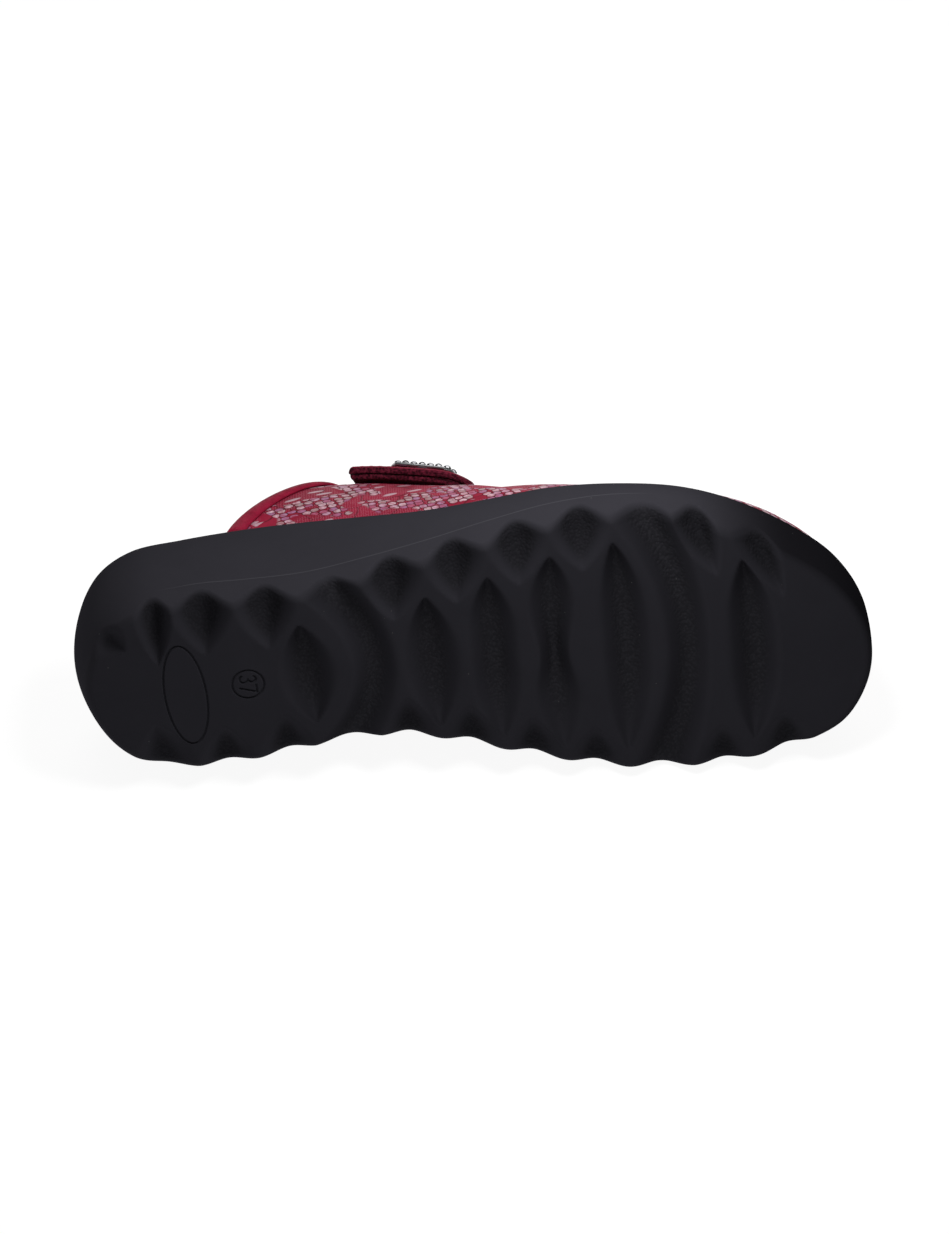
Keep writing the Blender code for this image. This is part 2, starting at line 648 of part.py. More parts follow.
def make_ornament(parent):
    """A plate with round corners and a border of faceted stones."""
    frame = ornament_frame()
    rim = rounded_rectangle(ORNAMENT_LENGTH, ORNAMENT_DEPTH, ORNAMENT_CORNER)
    top_rim = rounded_rectangle(ORNAMENT_LENGTH - 2 * ORNAMENT_BEVEL, ORNAMENT_DEPTH - 2 * ORNAMENT_BEVEL,
                                ORNAMENT_CORNER - ORNAMENT_BEVEL)
    rings = [placed(frame, rim, 0.0), placed(frame, rim, ORNAMENT_THICKNESS - ORNAMENT_BEVEL),
             placed(frame, top_rim, ORNAMENT_THICKNESS)]
    silver = material("silver_plate", (0.75, 0.75, 0.76), 0.22, 1.0)
    finish("ornament_plate", skin(rings, capped=True), silver, parent)
    glass = material("cut_glass", (0.80, 0.82, 0.85), 0.05)
    track = np.array(rounded_rectangle(ORNAMENT_LENGTH - 2 * STONE_INSET, ORNAMENT_DEPTH - 2 * STONE_INSET,
                                       ORNAMENT_CORNER - STONE_INSET, 12))
    loop_track = np.vstack([track, track[:1]])
    run = np.concatenate([[0.0], np.cumsum(np.linalg.norm(np.diff(loop_track, axis=0), axis=1))])
    for number in range(STONE_COUNT):
        at = run[-1] * number / STONE_COUNT
        seat = [np.interp(at, run, loop_track[:, axis]) for axis in (0, 1)]
        levels = ((0.6 * STONE_RADIUS, 0.0), (STONE_RADIUS, 0.45), (STONE_TABLE, STONE_HEIGHT))
        turns = [2 * math.pi * k / STONE_FACETS for k in range(STONE_FACETS)]
        rings = [
            placed(frame, [(seat[0] + radius * math.cos(t), seat[1] + radius * math.sin(t)) for t in turns],
                   ORNAMENT_THICKNESS + FIT_GAP + rise)
            for radius, rise in levels
        ]
        finish(f"ornament_stone_{number + 1:02d}", skin(rings, capped=True), glass, parent)


def weigh(pieces, graph):
    """Every corner of the pieces, and the point where they balance."""
    corners, moment, total = [], Vector(), 0.0
    for piece in pieces:
        mesh = piece.evaluated_get(graph).to_mesh()
        mesh.calc_loop_triangles()
        corners += [vertex.co.copy() for vertex in mesh.vertices]
        density = DENSITY.get(piece.name, OTHER_DENSITY)
        for triangle in mesh.loop_triangles:
            a, b, c = (mesh.vertices[i].co for i in triangle.vertices)
            mass = a.dot(b.cross(c)) / 6.0 * density
            moment += (a + b + c) / 4.0 * mass
            total += mass
    return corners, moment / total


def lay_on_medial_side(shoe, pieces):
    """Turns the shoe onto the facet of its hull, on the medial side, that its balance point stands over."""
    corners, balance = weigh(pieces, bpy.context.evaluated_depsgraph_get())
    hull = bmesh.new()
    for corner in corners:
        hull.verts.new(corner)
    bmesh.ops.convex_hull(hull, input=hull.verts)
    bmesh.ops.triangulate(hull, faces=hull.faces)
    bmesh.ops.recalc_face_normals(hull, faces=hull.faces)
    hull.normal_update()
    resting = [
        (face.normal.dot(face.verts[0].co - balance), face.normal.copy())
        for face in hull.faces
        if face.normal.y > 0.5
        and intersect_ray_tri(*(v.co for v in face.verts), face.normal, balance) is not None
    ]
    hull.free()
    down = min(resting, key=lambda found: found[0])[1]
    up = -down
    ahead = (Vector((1, 0, 0)) - up * up.x).normalized()
    turn = Matrix((ahead, up.cross(ahead), up))
    laid = np.array([turn @ corner for corner in corners])
    low, high = laid.min(axis=0), laid.max(axis=0)
    place = Vector((-(low[0] + high[0]) / 2, -(low[1] + high[1]) / 2, -low[2]))
    shoe.matrix_world = Matrix.Translation(place) @ turn.to_4x4()


def main():
    for leftover in list(bpy.data.objects):
        bpy.data.objects.remove(leftover)
    shoe = bpy.data.objects.new("shoe", None)
    bpy.context.scene.collection.objects.link(shoe)
    make_outsole(shoe)
    make_insole(shoe)
    make_upper(shoe)
    make_binding(shoe)
    make_strap(shoe)
    make_hook_pad(shoe)
    make_ornament(shoe)
    bpy.context.view_layer.update()
    lay_on_medial_side(shoe, list(shoe.children))
    bpy.context.view_layer.update()


main()
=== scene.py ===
"""The looks of a right-foot clog that lies on its medial side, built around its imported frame.

Sizes are millimetres in the shoe's own frame: +X runs from heel to toe, +Y to the medial side and +Z up from
the tread. The record's two tread mounts say where that frame lies, and MM turns millimetres into metres.
"""

import json
import math
from collections import namedtuple

import bmesh
import bpy
import numpy as np
from mathutils import Matrix, Vector


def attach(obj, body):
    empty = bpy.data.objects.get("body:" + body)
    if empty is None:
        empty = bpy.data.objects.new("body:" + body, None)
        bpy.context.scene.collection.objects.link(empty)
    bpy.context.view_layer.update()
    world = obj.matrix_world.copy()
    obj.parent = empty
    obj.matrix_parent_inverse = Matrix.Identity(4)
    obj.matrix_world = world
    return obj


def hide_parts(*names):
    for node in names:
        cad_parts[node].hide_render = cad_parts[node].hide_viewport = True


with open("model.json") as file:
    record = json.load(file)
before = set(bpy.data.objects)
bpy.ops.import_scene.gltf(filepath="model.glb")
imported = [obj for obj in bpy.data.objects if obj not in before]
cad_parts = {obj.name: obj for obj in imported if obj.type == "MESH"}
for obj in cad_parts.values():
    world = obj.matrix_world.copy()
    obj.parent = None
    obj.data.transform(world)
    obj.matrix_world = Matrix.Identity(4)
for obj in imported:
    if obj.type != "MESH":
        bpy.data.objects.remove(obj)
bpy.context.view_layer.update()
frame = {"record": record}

MM = 0.001
MEDIAL, LATERAL = 1, -1

# Driving dimensions
LENGTH = 252.0
BALL_WIDTH = 94.0
HEEL_HEIGHT = 43.0
INSTEP_HEIGHT = 91.0
FIT_GAP = 0.3

# The last, section by section. along is a share of LENGTH, medial and lateral are the tread's half widths and
# flare the wall's outward lean as shares of BALL_WIDTH, rim is the top of the sole as a share of HEEL_HEIGHT,
# top is the upper's ridge as a share of INSTEP_HEIGHT, and fullness squares off the upper's lateral shoulder.
Section = namedtuple("Section", "along medial lateral flare rim top fullness")
SECTIONS = (
    Section(0.040, 0.222, 0.207, 0.026, 0.87, 1.03, 2.6),
    Section(0.080, 0.306, 0.281, 0.021, 0.89, 1.03, 2.6),
    Section(0.143, 0.336, 0.292, 0.025, 0.935, 1.03, 2.6),
    Section(0.218, 0.324, 0.292, 0.029, 0.99, 1.03, 2.6),
    Section(0.298, 0.293, 0.300, 0.030, 0.99, 1.03, 2.6),
    Section(0.377, 0.283, 0.338, 0.022, 0.885, 0.98, 2.5),
    Section(0.456, 0.318, 0.385, 0.013, 0.755, 0.88, 2.3),
    Section(0.536, 0.382, 0.440, 0.008, 0.65, 0.77, 2.1),
    Section(0.615, 0.446, 0.485, 0.005, 0.58, 0.66, 1.9),
    Section(0.694, 0.492, 0.497, 0.005, 0.51, 0.58, 1.8),
    Section(0.774, 0.504, 0.466, 0.005, 0.50, 0.54, 1.9),
    Section(0.841, 0.490, 0.388, 0.006, 0.525, 0.53, 2.4),
    Section(0.913, 0.452, 0.259, 0.006, 0.555, 0.53, 2.9),
    Section(0.960, 0.394, 0.137, 0.006, 0.575, 0.53, 2.9),
    Section(0.990, 0.272, -0.010, 0.006, 0.58, 0.53, 2.8),
)
HEEL_END = (0.009, 0.010)
TOE_TIP = (0.999, 0.135)
OUTLINE_POWER = 0.7

# The record's two mounts, as places on the tread
HEEL_MOUNT = (46.921, 6.004, 0.0)
FOREFOOT_MOUNT = (202.625, 2.233, 0.0)

# Outsole
SPINE_HEEL = 34.0
SPINE_TOE = 212.0
EDGE_RADIUS = 2.0
RIM_ROUND = 1.4
RIM_WIDTH = 3.0
WELL_DEPTH = 13.0
WELL_LIP = 1.0
WALL_BULGE = 2.4
MEDIAL_TUCK = 4.0
TOE_FLATTENING = 0.75
TUCK_BEGINS = (4.0, 40.0)
TUCK_ENDS = (205.0, 246.0)
TOE_SPRING = 6.0
TOE_SPRING_START = 206.0
WAIST_LIFT = 1.2
WAIST_FROM = 70.0
WAIST_TO = 140.0
PARTING_HEIGHT = 11.2
PARTING_WIDTH = 0.45
PARTING_PROUD = 0.18
PARTING_DIP = 3.5
PARTING_BEGINS = (12.0, 45.0)
PARTING_ENDS = (170.0, 200.0)

# Wave tread: leaf-shaped hollows on a lattice of one pitch. Notches are cut into both edges, pits lie inside
# them and two channels cross from edge to edge. floor is the share of a hollow's width that is flat, and its
# sides round over by a shoulder past that width.
WAVE_PITCH = 20.2
FIRST_CREST = 31.0
LEAN_AT_HEEL = 5.0
LEAN_ENDS_AT = 160.0
Notch = namedtuple("Notch", "reach half_width depth shift floor ahead", defaults=(0.0,))
NOTCHES = (-1, 0, 1, 3, 4, 5, 6, 8, 9)
LATERAL_NOTCH = Notch(17.5, 8.0, 6.6, 0.0, 0.05)
MEDIAL_NOTCH = Notch(14.5, 7.4, 4.6, 0.0, 0.0)
ODD_NOTCHES = {
    (-1, LATERAL): Notch(20.0, 5.0, 5.2, 0.0, 0.05, 4.8),
    (-1, MEDIAL): Notch(17.0, 8.0, 4.0, -2.0, 0.0),
    (8, LATERAL): Notch(20.0, 5.8, 6.2, 6.5, 0.05, -4.5),
    (9, LATERAL): Notch(21.0, 5.0, 5.4, 8.0, 0.05, -5.5),
}
CORNER_NOTCH = Notch(8.0, 5.6, 3.0, 0.0, 0.05)
CORNER_NOTCH_X = 9.5
SHOULDER = 0.34
CHANNELS = (2, 7)
CHANNEL_HALF_WIDTH = 6.0
CHANNEL_DEPTH = 3.8
CHANNEL_BOW = 11.5
CHANNEL_FLARE = 0.4
Pit = namedtuple("Pit", "wave lateral_inset medial_inset half_width bow blunt waist")
PITS = (
    Pit(2, 10.0, 9.5, 7.4, 0.0, 0.90, 0.0),
    Pit(4, 12.0, 4.5, 7.7, 0.0, 0.90, 0.0),
    Pit(5, 11.5, 4.5, 8.4, 0.0, 0.85, 0.20),
    Pit(6, 10.5, 5.5, 9.5, -1.0, 0.80, 0.58),
    Pit(7, 9.0, 7.0, 7.8, 2.2, 0.80, 0.12),
    Pit(9, 8.5, 7.0, 8.0, 2.0, 0.90, 0.15),
)
PIT_DEPTH = 4.4
PIT_TIP_TAPER = 0.22
PIT_TAIL_TAPER = 0.75
PIT_WAIST_SPREAD = 0.45
PIT_FLOOR = 0.05
FLANK_STEP = 0.4
FLANK_SLOPES = (0.25, 1.1)

# Marks pressed into the heel of the tread: a bare oval and a ring with the size in it
GROOVE_WIDTH = 0.8
GROOVE_DEPTH = 0.55
OVAL_CENTRE = (33.4, 4.0)
OVAL_HALF_LENGTH = 18.2
OVAL_HALF_WIDTH = 6.6
OVAL_LEAN = 4.0
RING_CENTRE = (53.5, 2.0)
RING_RADIUS = 5.1
DIGIT_HEIGHT = 5.2
DIGIT_WIDTH = 2.6
DIGIT_SPACING = 3.5
MARKS_END = 3 * WAVE_PITCH
GROOVE_SIDES = (0.35, 1.15)

# Insole
INSOLE_THICKNESS = 5.5
INSOLE_CUP = 1.6
INSOLE_EDGE = 1.5
UPPER_CLEARANCE = 0.7
INSOLE_STEP_FROM = 38.0
INSOLE_STEP_TO = 47.0

# Upper
UPPER_THICKNESS = 2.4
UPPER_SPINE_TOE = 208.0
RIDGE_SHIFT = 4.0
MEDIAL_FULLNESS = 2.2
COLLAR_RIM_LATERAL = 50.0
COLLAR_RIM_MEDIAL = 54.0
COLLAR_TOP = 87.0
COLLAR_POWER = 1.05

# Binding folded over the collar's edge
BINDING_WIDTH = 5.5
BINDING_THICKNESS = 0.9
BINDING_PUFF = 0.5
BINDING_INNER_PUFF = 0.2
BINDING_ENDS = 0.985
BINDING_SKIVE = 0.5

# Strap over the instep; around counts from -1 at the lateral rim over 0 on the ridge to 1 at the medial rim
STRAP_REAR = 86.5
STRAP_FRONT = 130.0
STRAP_CROWN = 7.8
STRAP_THICKNESS = 2.4
STRAP_FREE_END = -0.50
STRAP_SEWN_END = 0.93
STRAP_END_ROUND = 0.16
STRAP_END_STRAIGHT = 0.55
STRAP_REAR_ROUND = 0.02
STRAP_END_LIFT = 1.2
STRAP_LIFT_LENGTH = 0.42
STRAP_ROUND = 0.6
STRAP_MARGIN = 2.2
STRAP_PRINT_SHIFT = 60.0
HOOK_PAD_THICKNESS = 1.6
HOOK_PAD_INSET = 0.3
HOOK_PAD_FROM = -0.488
HOOK_PAD_TO = -0.18
HOOK_PAD_STEP = (-0.02, 0.12)

# Ornament on the strap
ORNAMENT_X = 114.0
ORNAMENT_AROUND = -0.315
ORNAMENT_LENGTH = 23.0
ORNAMENT_DEPTH = 15.0
ORNAMENT_CORNER = 4.5
ORNAMENT_THICKNESS = 1.2
ORNAMENT_CLEARANCE = 0.9
STONE_COUNT = 20
STONE_RADIUS = 1.15
STONE_TABLE = 0.68
STONE_HEIGHT = 1.2
STONE_INSET = 1.6
FACETS = 8
LEAST_CORNER = 0.4
PLATE_SHARP = math.radians(40.0)

# The plate from its base to its field, as (inset from its outline, height) pairs
PLATE_PROFILE = (
    (0.25, 0.0), (0.0, 0.25), (0.0, 0.75), (0.12, 1.0), (0.4, 1.2), (3.6, 1.2), (3.75, 1.45), (4.4, 1.7)
)

# A stone in its collet, from its seat to its table: reach is a share of STONE_RADIUS, rise is the height over
# the plate, and turned rings lie half a facet round
StoneRing = namedtuple("StoneRing", "reach rise turned in_collet")
STONE_RINGS = (
    StoneRing(1.14, 0.0, False, True),
    StoneRing(1.18, 0.50, False, True),
    StoneRing(1.10, 0.55, False, True),
    StoneRing(1.09, 0.40, False, False),
    StoneRing(1.09, 0.58, False, False),
    StoneRing(0.88, 0.95, True, False),
    StoneRing(STONE_TABLE / STONE_RADIUS, STONE_HEIGHT, False, False),
)

# The stones' paints, in their order on each stone
CLEAR, COLLET, DARK = range(3)

# The photograph's view: its scale, tilt from the sole's normal, roll, and where one point of the tread lies
PHOTO_WIDTH, PHOTO_HEIGHT = 949, 1234
PIXELS_PER_MM = 3.15
VIEW_TILT = math.radians(31.0)
VIEW_ROLL = math.radians(5.0)
AIM_POINT = (126.0, 0.0, 0.0)
AIM_PIXEL = (475.0, 659.0)
CAMERA_DISTANCE = 3200.0
CLIP_METRES = 50.0
SENSOR = 36.0

# Stage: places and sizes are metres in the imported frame, and powers are watts
Light = namedtuple("Light", "name place aim size power")
LIGHTS = (
    Light("key_softbox", (0.03, -0.03, 0.29), (0.03, -0.01, 0.05), 0.12, 0.60),
    Light("back_softbox", (0.0, 1.3, 0.9), (0.0, 0.0, 0.05), 1.0, 6.0),
)
SURROUND = 0.14
FLOOR_HALF = 6.0
FLOOR_FADES = (5.0, 3.0)
FLOOR_GLOW = 0.92

# Mesh counts, and the turns of rounded edges
OUTLINE_SAMPLES = 4001
SPINE_SAMPLES = 201
COLLAR_SAMPLES = 401
PRINT_SAMPLES = (41, 31)
SOLE_STEPS = 400
TREAD_RINGS = 60
EDGE_TURNS = np.radians(np.linspace(15.0, 90.0, 6))
LOW_WALL_RINGS = 5
HIGH_WALL_RINGS = 14
RIM_TURNS = np.radians(np.linspace(20.0, 90.0, 5))
GROOVE_CUTS = 3
INSOLE_STEPS = 150
INSOLE_RINGS = 16
INSOLE_TURNS = np.radians(np.linspace(20.0, 80.0, 4))
UPPER_STEPS = 150
UPPER_RISE_STEPS = 64
COLLAR_STEPS = 90
BINDING_LEG_STEPS = 9
BINDING_FOLD_STEPS = 10
STRAP_STEPS = 90
STRAP_COLUMNS = 28
STRAP_END_TURNS = np.radians(np.linspace(6.0, 78.0, 7))
STRAP_EDGE_TURNS = np.radians(np.linspace(90.0, 0.0, 8)[1:])
HOOK_PAD_STEPS = 24
STITCH_RINGS = 7
STITCH_SIDES = 6
LONG_STITCH_STEPS = 240
END_STITCH_STEPS = 60
PLATE_CORNER_STEPS = 8
STONE_TRACK_STEPS = 12

# Small values: a step over the upper's surface in shares of it, a welding distance in metres, a least divisor
SURFACE_STEP = 2e-3
WELD = 1e-6
TINY = 1e-6


def smoothstep(low, high, value):
    share = np.clip((np.asarray(value, float) - low) / (high - low), 0.0, 1.0)
    return share * share * (3.0 - 2.0 * share)


def hermite(stations, values, at):
    """Smooth curve through the values at the stations, held level past both ends."""
    stations, values = np.asarray(stations, float), np.asarray(values, float)
    at = np.clip(np.asarray(at, float), stations[0], stations[-1])
    slopes = np.gradient(values, stations)
    i = np.clip(np.searchsorted(stations, at) - 1, 0, len(stations) - 2)
    step = stations[i + 1] - stations[i]
    t = (at - stations[i]) / step
    rise = (2 * t**3 - 3 * t**2 + 1) * values[i] + (3 * t**2 - 2 * t**3) * values[i + 1]
    return rise + step * ((t**3 - 2 * t**2 + t) * slopes[i] + (t**3 - t**2) * slopes[i + 1])


def run_length(points, power=1.0):
    """Length of a line of points up to each of them, with each step raised to a power."""
    return np.concatenate([[0.0], np.cumsum(np.linalg.norm(np.diff(points, axis=0), axis=1) ** power)])


def column(name, scale, x):
    """A column of the section table at any place along the shoe."""
    stations = [row.along * LENGTH for row in SECTIONS]
    return hermite(stations, [getattr(row, name) * scale for row in SECTIONS], x)


def flare(x, side):
    """How far the rim stands out past the tread; the medial wall tapers in between heel and toe."""
    tuck = MEDIAL_TUCK * smoothstep(*TUCK_BEGINS, x) * (1.0 - smoothstep(*TUCK_ENDS, x))
    return column("flare", BALL_WIDTH, x) - tuck * (np.asarray(side) == MEDIAL)


def rim_height(x):
    return column("rim", HEEL_HEIGHT, x)


def well_floor(x):
    return rim_height(x) - WELL_DEPTH


def ridge_height(x):
    return column("top", INSTEP_HEIGHT, x)


def trace_outline():
    """The tread's outline as one closed smooth curve, split into its two halves from heel to toe."""
    medial = [(row.along * LENGTH, row.medial * BALL_WIDTH) for row in SECTIONS]
    lateral = [(row.along * LENGTH, -row.lateral * BALL_WIDTH) for row in SECTIONS]
    heel = (HEEL_END[0] * LENGTH, HEEL_END[1] * BALL_WIDTH)
    toe = (TOE_TIP[0] * LENGTH, TOE_TIP[1] * BALL_WIDTH)
    knots = np.array([heel, *medial, toe, *lateral[::-1]])
    count = len(knots)
    wrapped = np.vstack([knots[-3:], knots, knots[:4]])
    chord = run_length(wrapped, OUTLINE_POWER)
    dense = np.linspace(chord[3], chord[3 + count], OUTLINE_SAMPLES)
    points = np.stack([hermite(chord, wrapped[:, axis], dense) for axis in (0, 1)], axis=1)
    toe_index = int(np.argmin(np.linalg.norm(points - knots[1 + len(SECTIONS)], axis=1)))
    return {MEDIAL: points[: toe_index + 1], LATERAL: points[toe_index:][::-1]}


def measure_half(points, side):
    """A half outline with its share of length and outward normal at each point."""
    length = run_length(points)
    tangent = np.gradient(points, axis=0)
    normal = np.stack([-tangent[:, 1], tangent[:, 0]], axis=1) * side
    normal /= np.linalg.norm(normal, axis=1, keepdims=True)
    normal[0] = (-1.0, 0.0)
    normal[-1] = (1.0, 0.0)
    return length / length[-1], points, normal


HALVES = {side: measure_half(points, side) for side, points in trace_outline().items()}
HALF_LENGTH = float(run_length(HALVES[LATERAL][1])[-1])


def half_point(side, share, outward=0.0):
    """Plan point on a half outline, moved outward; share runs from the heel end to the toe tip."""
    shares, points, normals = HALVES[side]
    x, y, nx, ny = (np.interp(share, shares, values) for values in (*points.T, *normals.T))
    size = np.hypot(nx, ny)
    return np.stack([x + outward * nx / size, y + outward * ny / size], axis=-1)


def middle(share):
    return (half_point(MEDIAL, share) + half_point(LATERAL, share)) / 2


def spine(share, heel_end, toe_end):
    """Plan point midway between the halves, stopped short of both ends so that the ends fan out from it."""
    line = middle(np.linspace(0.0, 1.0, SPINE_SAMPLES))
    x = np.clip(middle(share)[..., 0], heel_end, toe_end)
    return np.stack([x, np.interp(x, line[:, 0], line[:, 1])], axis=-1)


def share_at(side, x):
    """Share of the half outline at which it passes a place along the shoe."""
    shares, points, _ = HALVES[side]
    return np.interp(x, points[:, 0], shares)


Loop = namedtuple("Loop", "shares sides")


def make_loop(steps):
    """Samples of the whole outline: up the medial half from the heel end and back down the lateral half."""
    shares = np.concatenate([np.arange(steps + 1), np.arange(steps - 1, 0, -1)]) / steps
    return Loop(shares, np.array([MEDIAL] * (steps + 1) + [LATERAL] * (steps - 1)))


def ring(loop, outward):
    """The outline as a ring of plan points, moved outward by one value or by one for each point."""
    outward = np.broadcast_to(outward, loop.shares.shape)
    points = np.empty((len(loop.shares), 2))
    for side in (MEDIAL, LATERAL):
        chosen = loop.sides == side
        points[chosen] = half_point(side, loop.shares[chosen], outward[chosen])
    return points


def raised(plan, height):
    """Plan points with a height each, as points in space."""
    return np.column_stack([plan, np.broadcast_to(height, len(plan))])


def leaf(points, tip, tail, half_width, depth, floor, blunt=1.0, tapers=(1.0, 1.0), bow=0.0, waist=0.0):
    """Depth of a leaf-shaped hollow between two tips. It may bow sideways and draw in at its middle."""
    tip, tail = np.asarray(tip, float), np.asarray(tail, float)
    axis = tail - tip
    length = np.linalg.norm(axis)
    axis /= length
    along = np.clip(2.0 * ((points - tip) @ axis) / length - 1.0, -1.0, 1.0)
    belly = 1.0 - along**2
    offset = (points - tip) @ np.array([-axis[1], axis[0]]) - bow * belly
    width = half_width * belly**blunt * (1.0 - waist * np.exp(-((along / PIT_WAIST_SPREAD) ** 2)))
    run_out = belly ** np.where(along < 0.0, *tapers)
    away = np.abs(offset) / np.maximum(width, TINY)
    return depth * run_out * (1.0 - smoothstep(floor, 1.0 + SHOULDER, away))


def channel(points, mouth, far_mouth):
    """Depth of a channel that runs from edge to edge in a bow and opens out towards its mouths."""
    along = np.clip(2.0 * (points[:, 1] - mouth[1]) / (far_mouth[1] - mouth[1]) - 1.0, -1.2, 1.2)
    line = mouth[0] + (far_mouth[0] - mouth[0]) * (along + 1.0) / 2.0 + CHANNEL_BOW * (1.0 - along**2)
    opened = 1.0 + CHANNEL_FLARE * along**2
    reach = np.abs(points[:, 0] - line) / (CHANNEL_HALF_WIDTH * opened)
    return CHANNEL_DEPTH * opened * (1.0 - smoothstep(PIT_FLOOR, 1.0 + SHOULDER, reach))


def edge_y(side, x):
    return float(half_point(side, share_at(side, x))[1])


def lean(x):
    """How far forward a wave's medial end lies from its lateral end."""
    return LEAN_AT_HEEL * max(0.0, 1.0 - x / LEAN_ENDS_AT)


def edge_place(wave, side):
    """Place on the edge halfway between two crests of the lattice."""
    x = FIRST_CREST + (wave + 0.5) * WAVE_PITCH
    if side == MEDIAL:
        x += lean(x)
    return x, edge_y(side, x)


def notch_ends(wave, side, notch):
    """Tip inside the tread and tail outside it for a notch in an edge."""
    x, _ = edge_place(wave, side)
    x += notch.ahead
    place = np.array([x, edge_y(side, x)])
    inward = np.array([notch.shift, -side * notch.reach])
    return place + inward, place - inward


def edge_hollows(points):
    """Depth of the notches along both edges at plan points."""
    corner = share_at(LATERAL, CORNER_NOTCH_X)
    corner_ends = [half_point(LATERAL, corner, side * CORNER_NOTCH.reach) for side in (-1.0, 1.0)]
    found = leaf(points, *corner_ends, CORNER_NOTCH.half_width, CORNER_NOTCH.depth, CORNER_NOTCH.floor)
    for side, usual in ((LATERAL, LATERAL_NOTCH), (MEDIAL, MEDIAL_NOTCH)):
        for wave in NOTCHES:
            notch = ODD_NOTCHES.get((wave, side), usual)
            ends = notch_ends(wave, side, notch)
            found = np.maximum(found, leaf(points, *ends, notch.half_width, notch.depth, notch.floor))
    return found


def inner_hollows(points):
    """Depth of the pits and of the two channels at plan points."""
    found = np.zeros(len(points))
    for pit in PITS:
        x = FIRST_CREST + pit.wave * WAVE_PITCH
        tip = (x, edge_y(LATERAL, x) + pit.lateral_inset)
        tail = (x + lean(x), edge_y(MEDIAL, x) - pit.medial_inset)
        pressed = leaf(points, tip, tail, pit.half_width, PIT_DEPTH, PIT_FLOOR, pit.blunt,
                       (PIT_TIP_TAPER, PIT_TAIL_TAPER), -pit.bow, pit.waist)
        found = np.maximum(found, pressed)
    for wave in CHANNELS:
        found = np.maximum(found, channel(points, edge_place(wave, LATERAL), edge_place(wave, MEDIAL)))
    return found


def hollows(points):
    """Depth of the wave tread at plan points."""
    return np.maximum(edge_hollows(points), inner_hollows(points))


def tread_height(points):
    """Height of the tread over the ground: flat at heel and ball, lifted at waist and toe, and hollowed."""
    x = points[:, 0]
    spring = np.clip((x - TOE_SPRING_START) / (LENGTH - TOE_SPRING_START), 0.0, None) ** 2 * TOE_SPRING
    half_waist = (WAIST_TO - WAIST_FROM) / 2
    waist = np.clip(1.0 - ((x - WAIST_FROM) / half_waist - 1.0) ** 2, 0.0, None) ** 2 * WAIST_LIFT
    return spring + waist + hollows(points)


def wall_lean(x, side, height):
    """How far the sole's wall stands out past the tread's outline at a height: it leans and bulges."""
    share = np.clip(height / rim_height(x), 0.0, 1.0)
    bulge = WALL_BULGE * (1.0 - TOE_FLATTENING * smoothstep(*TUCK_ENDS, x))
    return flare(x, side) * share + 4.0 * bulge * share * (1.0 - share)


def upper_points(share, around, offset=0.0):
    """Outer surface of the upper. around is -1 at the lateral rim, 0 on the ridge and 1 at the medial rim."""
    share, around = np.broadcast_arrays(np.asarray(share, float), np.asarray(around, float))
    if np.any(offset):
        step = SURFACE_STEP
        along = upper_points(share + step, around) - upper_points(share - step, around)
        across = upper_points(share, around + step) - upper_points(share, around - step)
        normal = np.cross(along, across)
        normal /= np.maximum(np.linalg.norm(normal, axis=-1, keepdims=True), 1e-9)
        return upper_points(share, around) + normal * np.asarray(offset)[..., None]
    crown = spine(share, SPINE_HEEL, UPPER_SPINE_TOE) + np.array([0.0, RIDGE_SHIFT])
    angle = (1.0 - np.minimum(np.abs(around), 1.0)) * math.pi / 2
    drop = np.maximum(np.abs(around) - 1.0, 0.0) * WELL_DEPTH
    found = {}
    for side in (MEDIAL, LATERAL):
        x = half_point(side, share)[..., 0]
        rim = rim_height(x)
        base = half_point(side, share, flare(x, side) - RIM_WIDTH - FIT_GAP)
        power = 2.0 / (MEDIAL_FULLNESS if side == MEDIAL else column("fullness", 1.0, x))
        plan = crown + (base - crown) * (np.maximum(np.cos(angle), 0.0) ** power)[..., None]
        height = rim + (ridge_height(crown[..., 0]) - rim) * np.sin(angle) ** power - drop
        found[side] = np.concatenate([plan, height[..., None]], axis=-1)
    return np.where((around > 0)[..., None], found[MEDIAL], found[LATERAL])


def collar_share(around):
    """Where along the shoe the upper begins, at each place around it."""
    around = np.asarray(around, float)
    low = np.where(around > 0, share_at(MEDIAL, COLLAR_RIM_MEDIAL), share_at(LATERAL, COLLAR_RIM_LATERAL))
    lines = np.linspace(0.0, 1.0, COLLAR_SAMPLES)
    top = np.interp(COLLAR_TOP, middle(lines)[:, 0], lines)
    rise = np.sin((1.0 - np.minimum(np.abs(around), 1.0)) * math.pi / 2) ** COLLAR_POWER
    return low + (top - low) * rise


# Where the shoe lies, from the tread mounts


def shoe_matrix():
    """The shoe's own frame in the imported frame: tread plane and heel-to-toe line come from the two mounts."""
    heel_mount = Vector(HEEL_MOUNT)
    forefoot_mount = Vector(FOREFOOT_MOUNT)
    mounts = {mount["name"]: mount for mount in frame["record"]["mounts"]}
    heel = Vector(mounts["heel_tread"]["pos_m"])
    forefoot = Vector(mounts["forefoot_tread"]["pos_m"])
    up = -Vector(mounts["heel_tread"]["axis"]).normalized()
    line = (forefoot - heel).normalized()
    line = (line - up * line.dot(up)).normalized()
    local = (forefoot_mount - heel_mount).normalized()
    across = up.cross(line)
    ahead = line * local.x - across * local.y
    turn = Matrix((ahead, up.cross(ahead), up)).transposed()
    return Matrix.Translation(heel - turn @ (heel_mount * MM)) @ turn.to_4x4()


SHOE = shoe_matrix()


# Materials

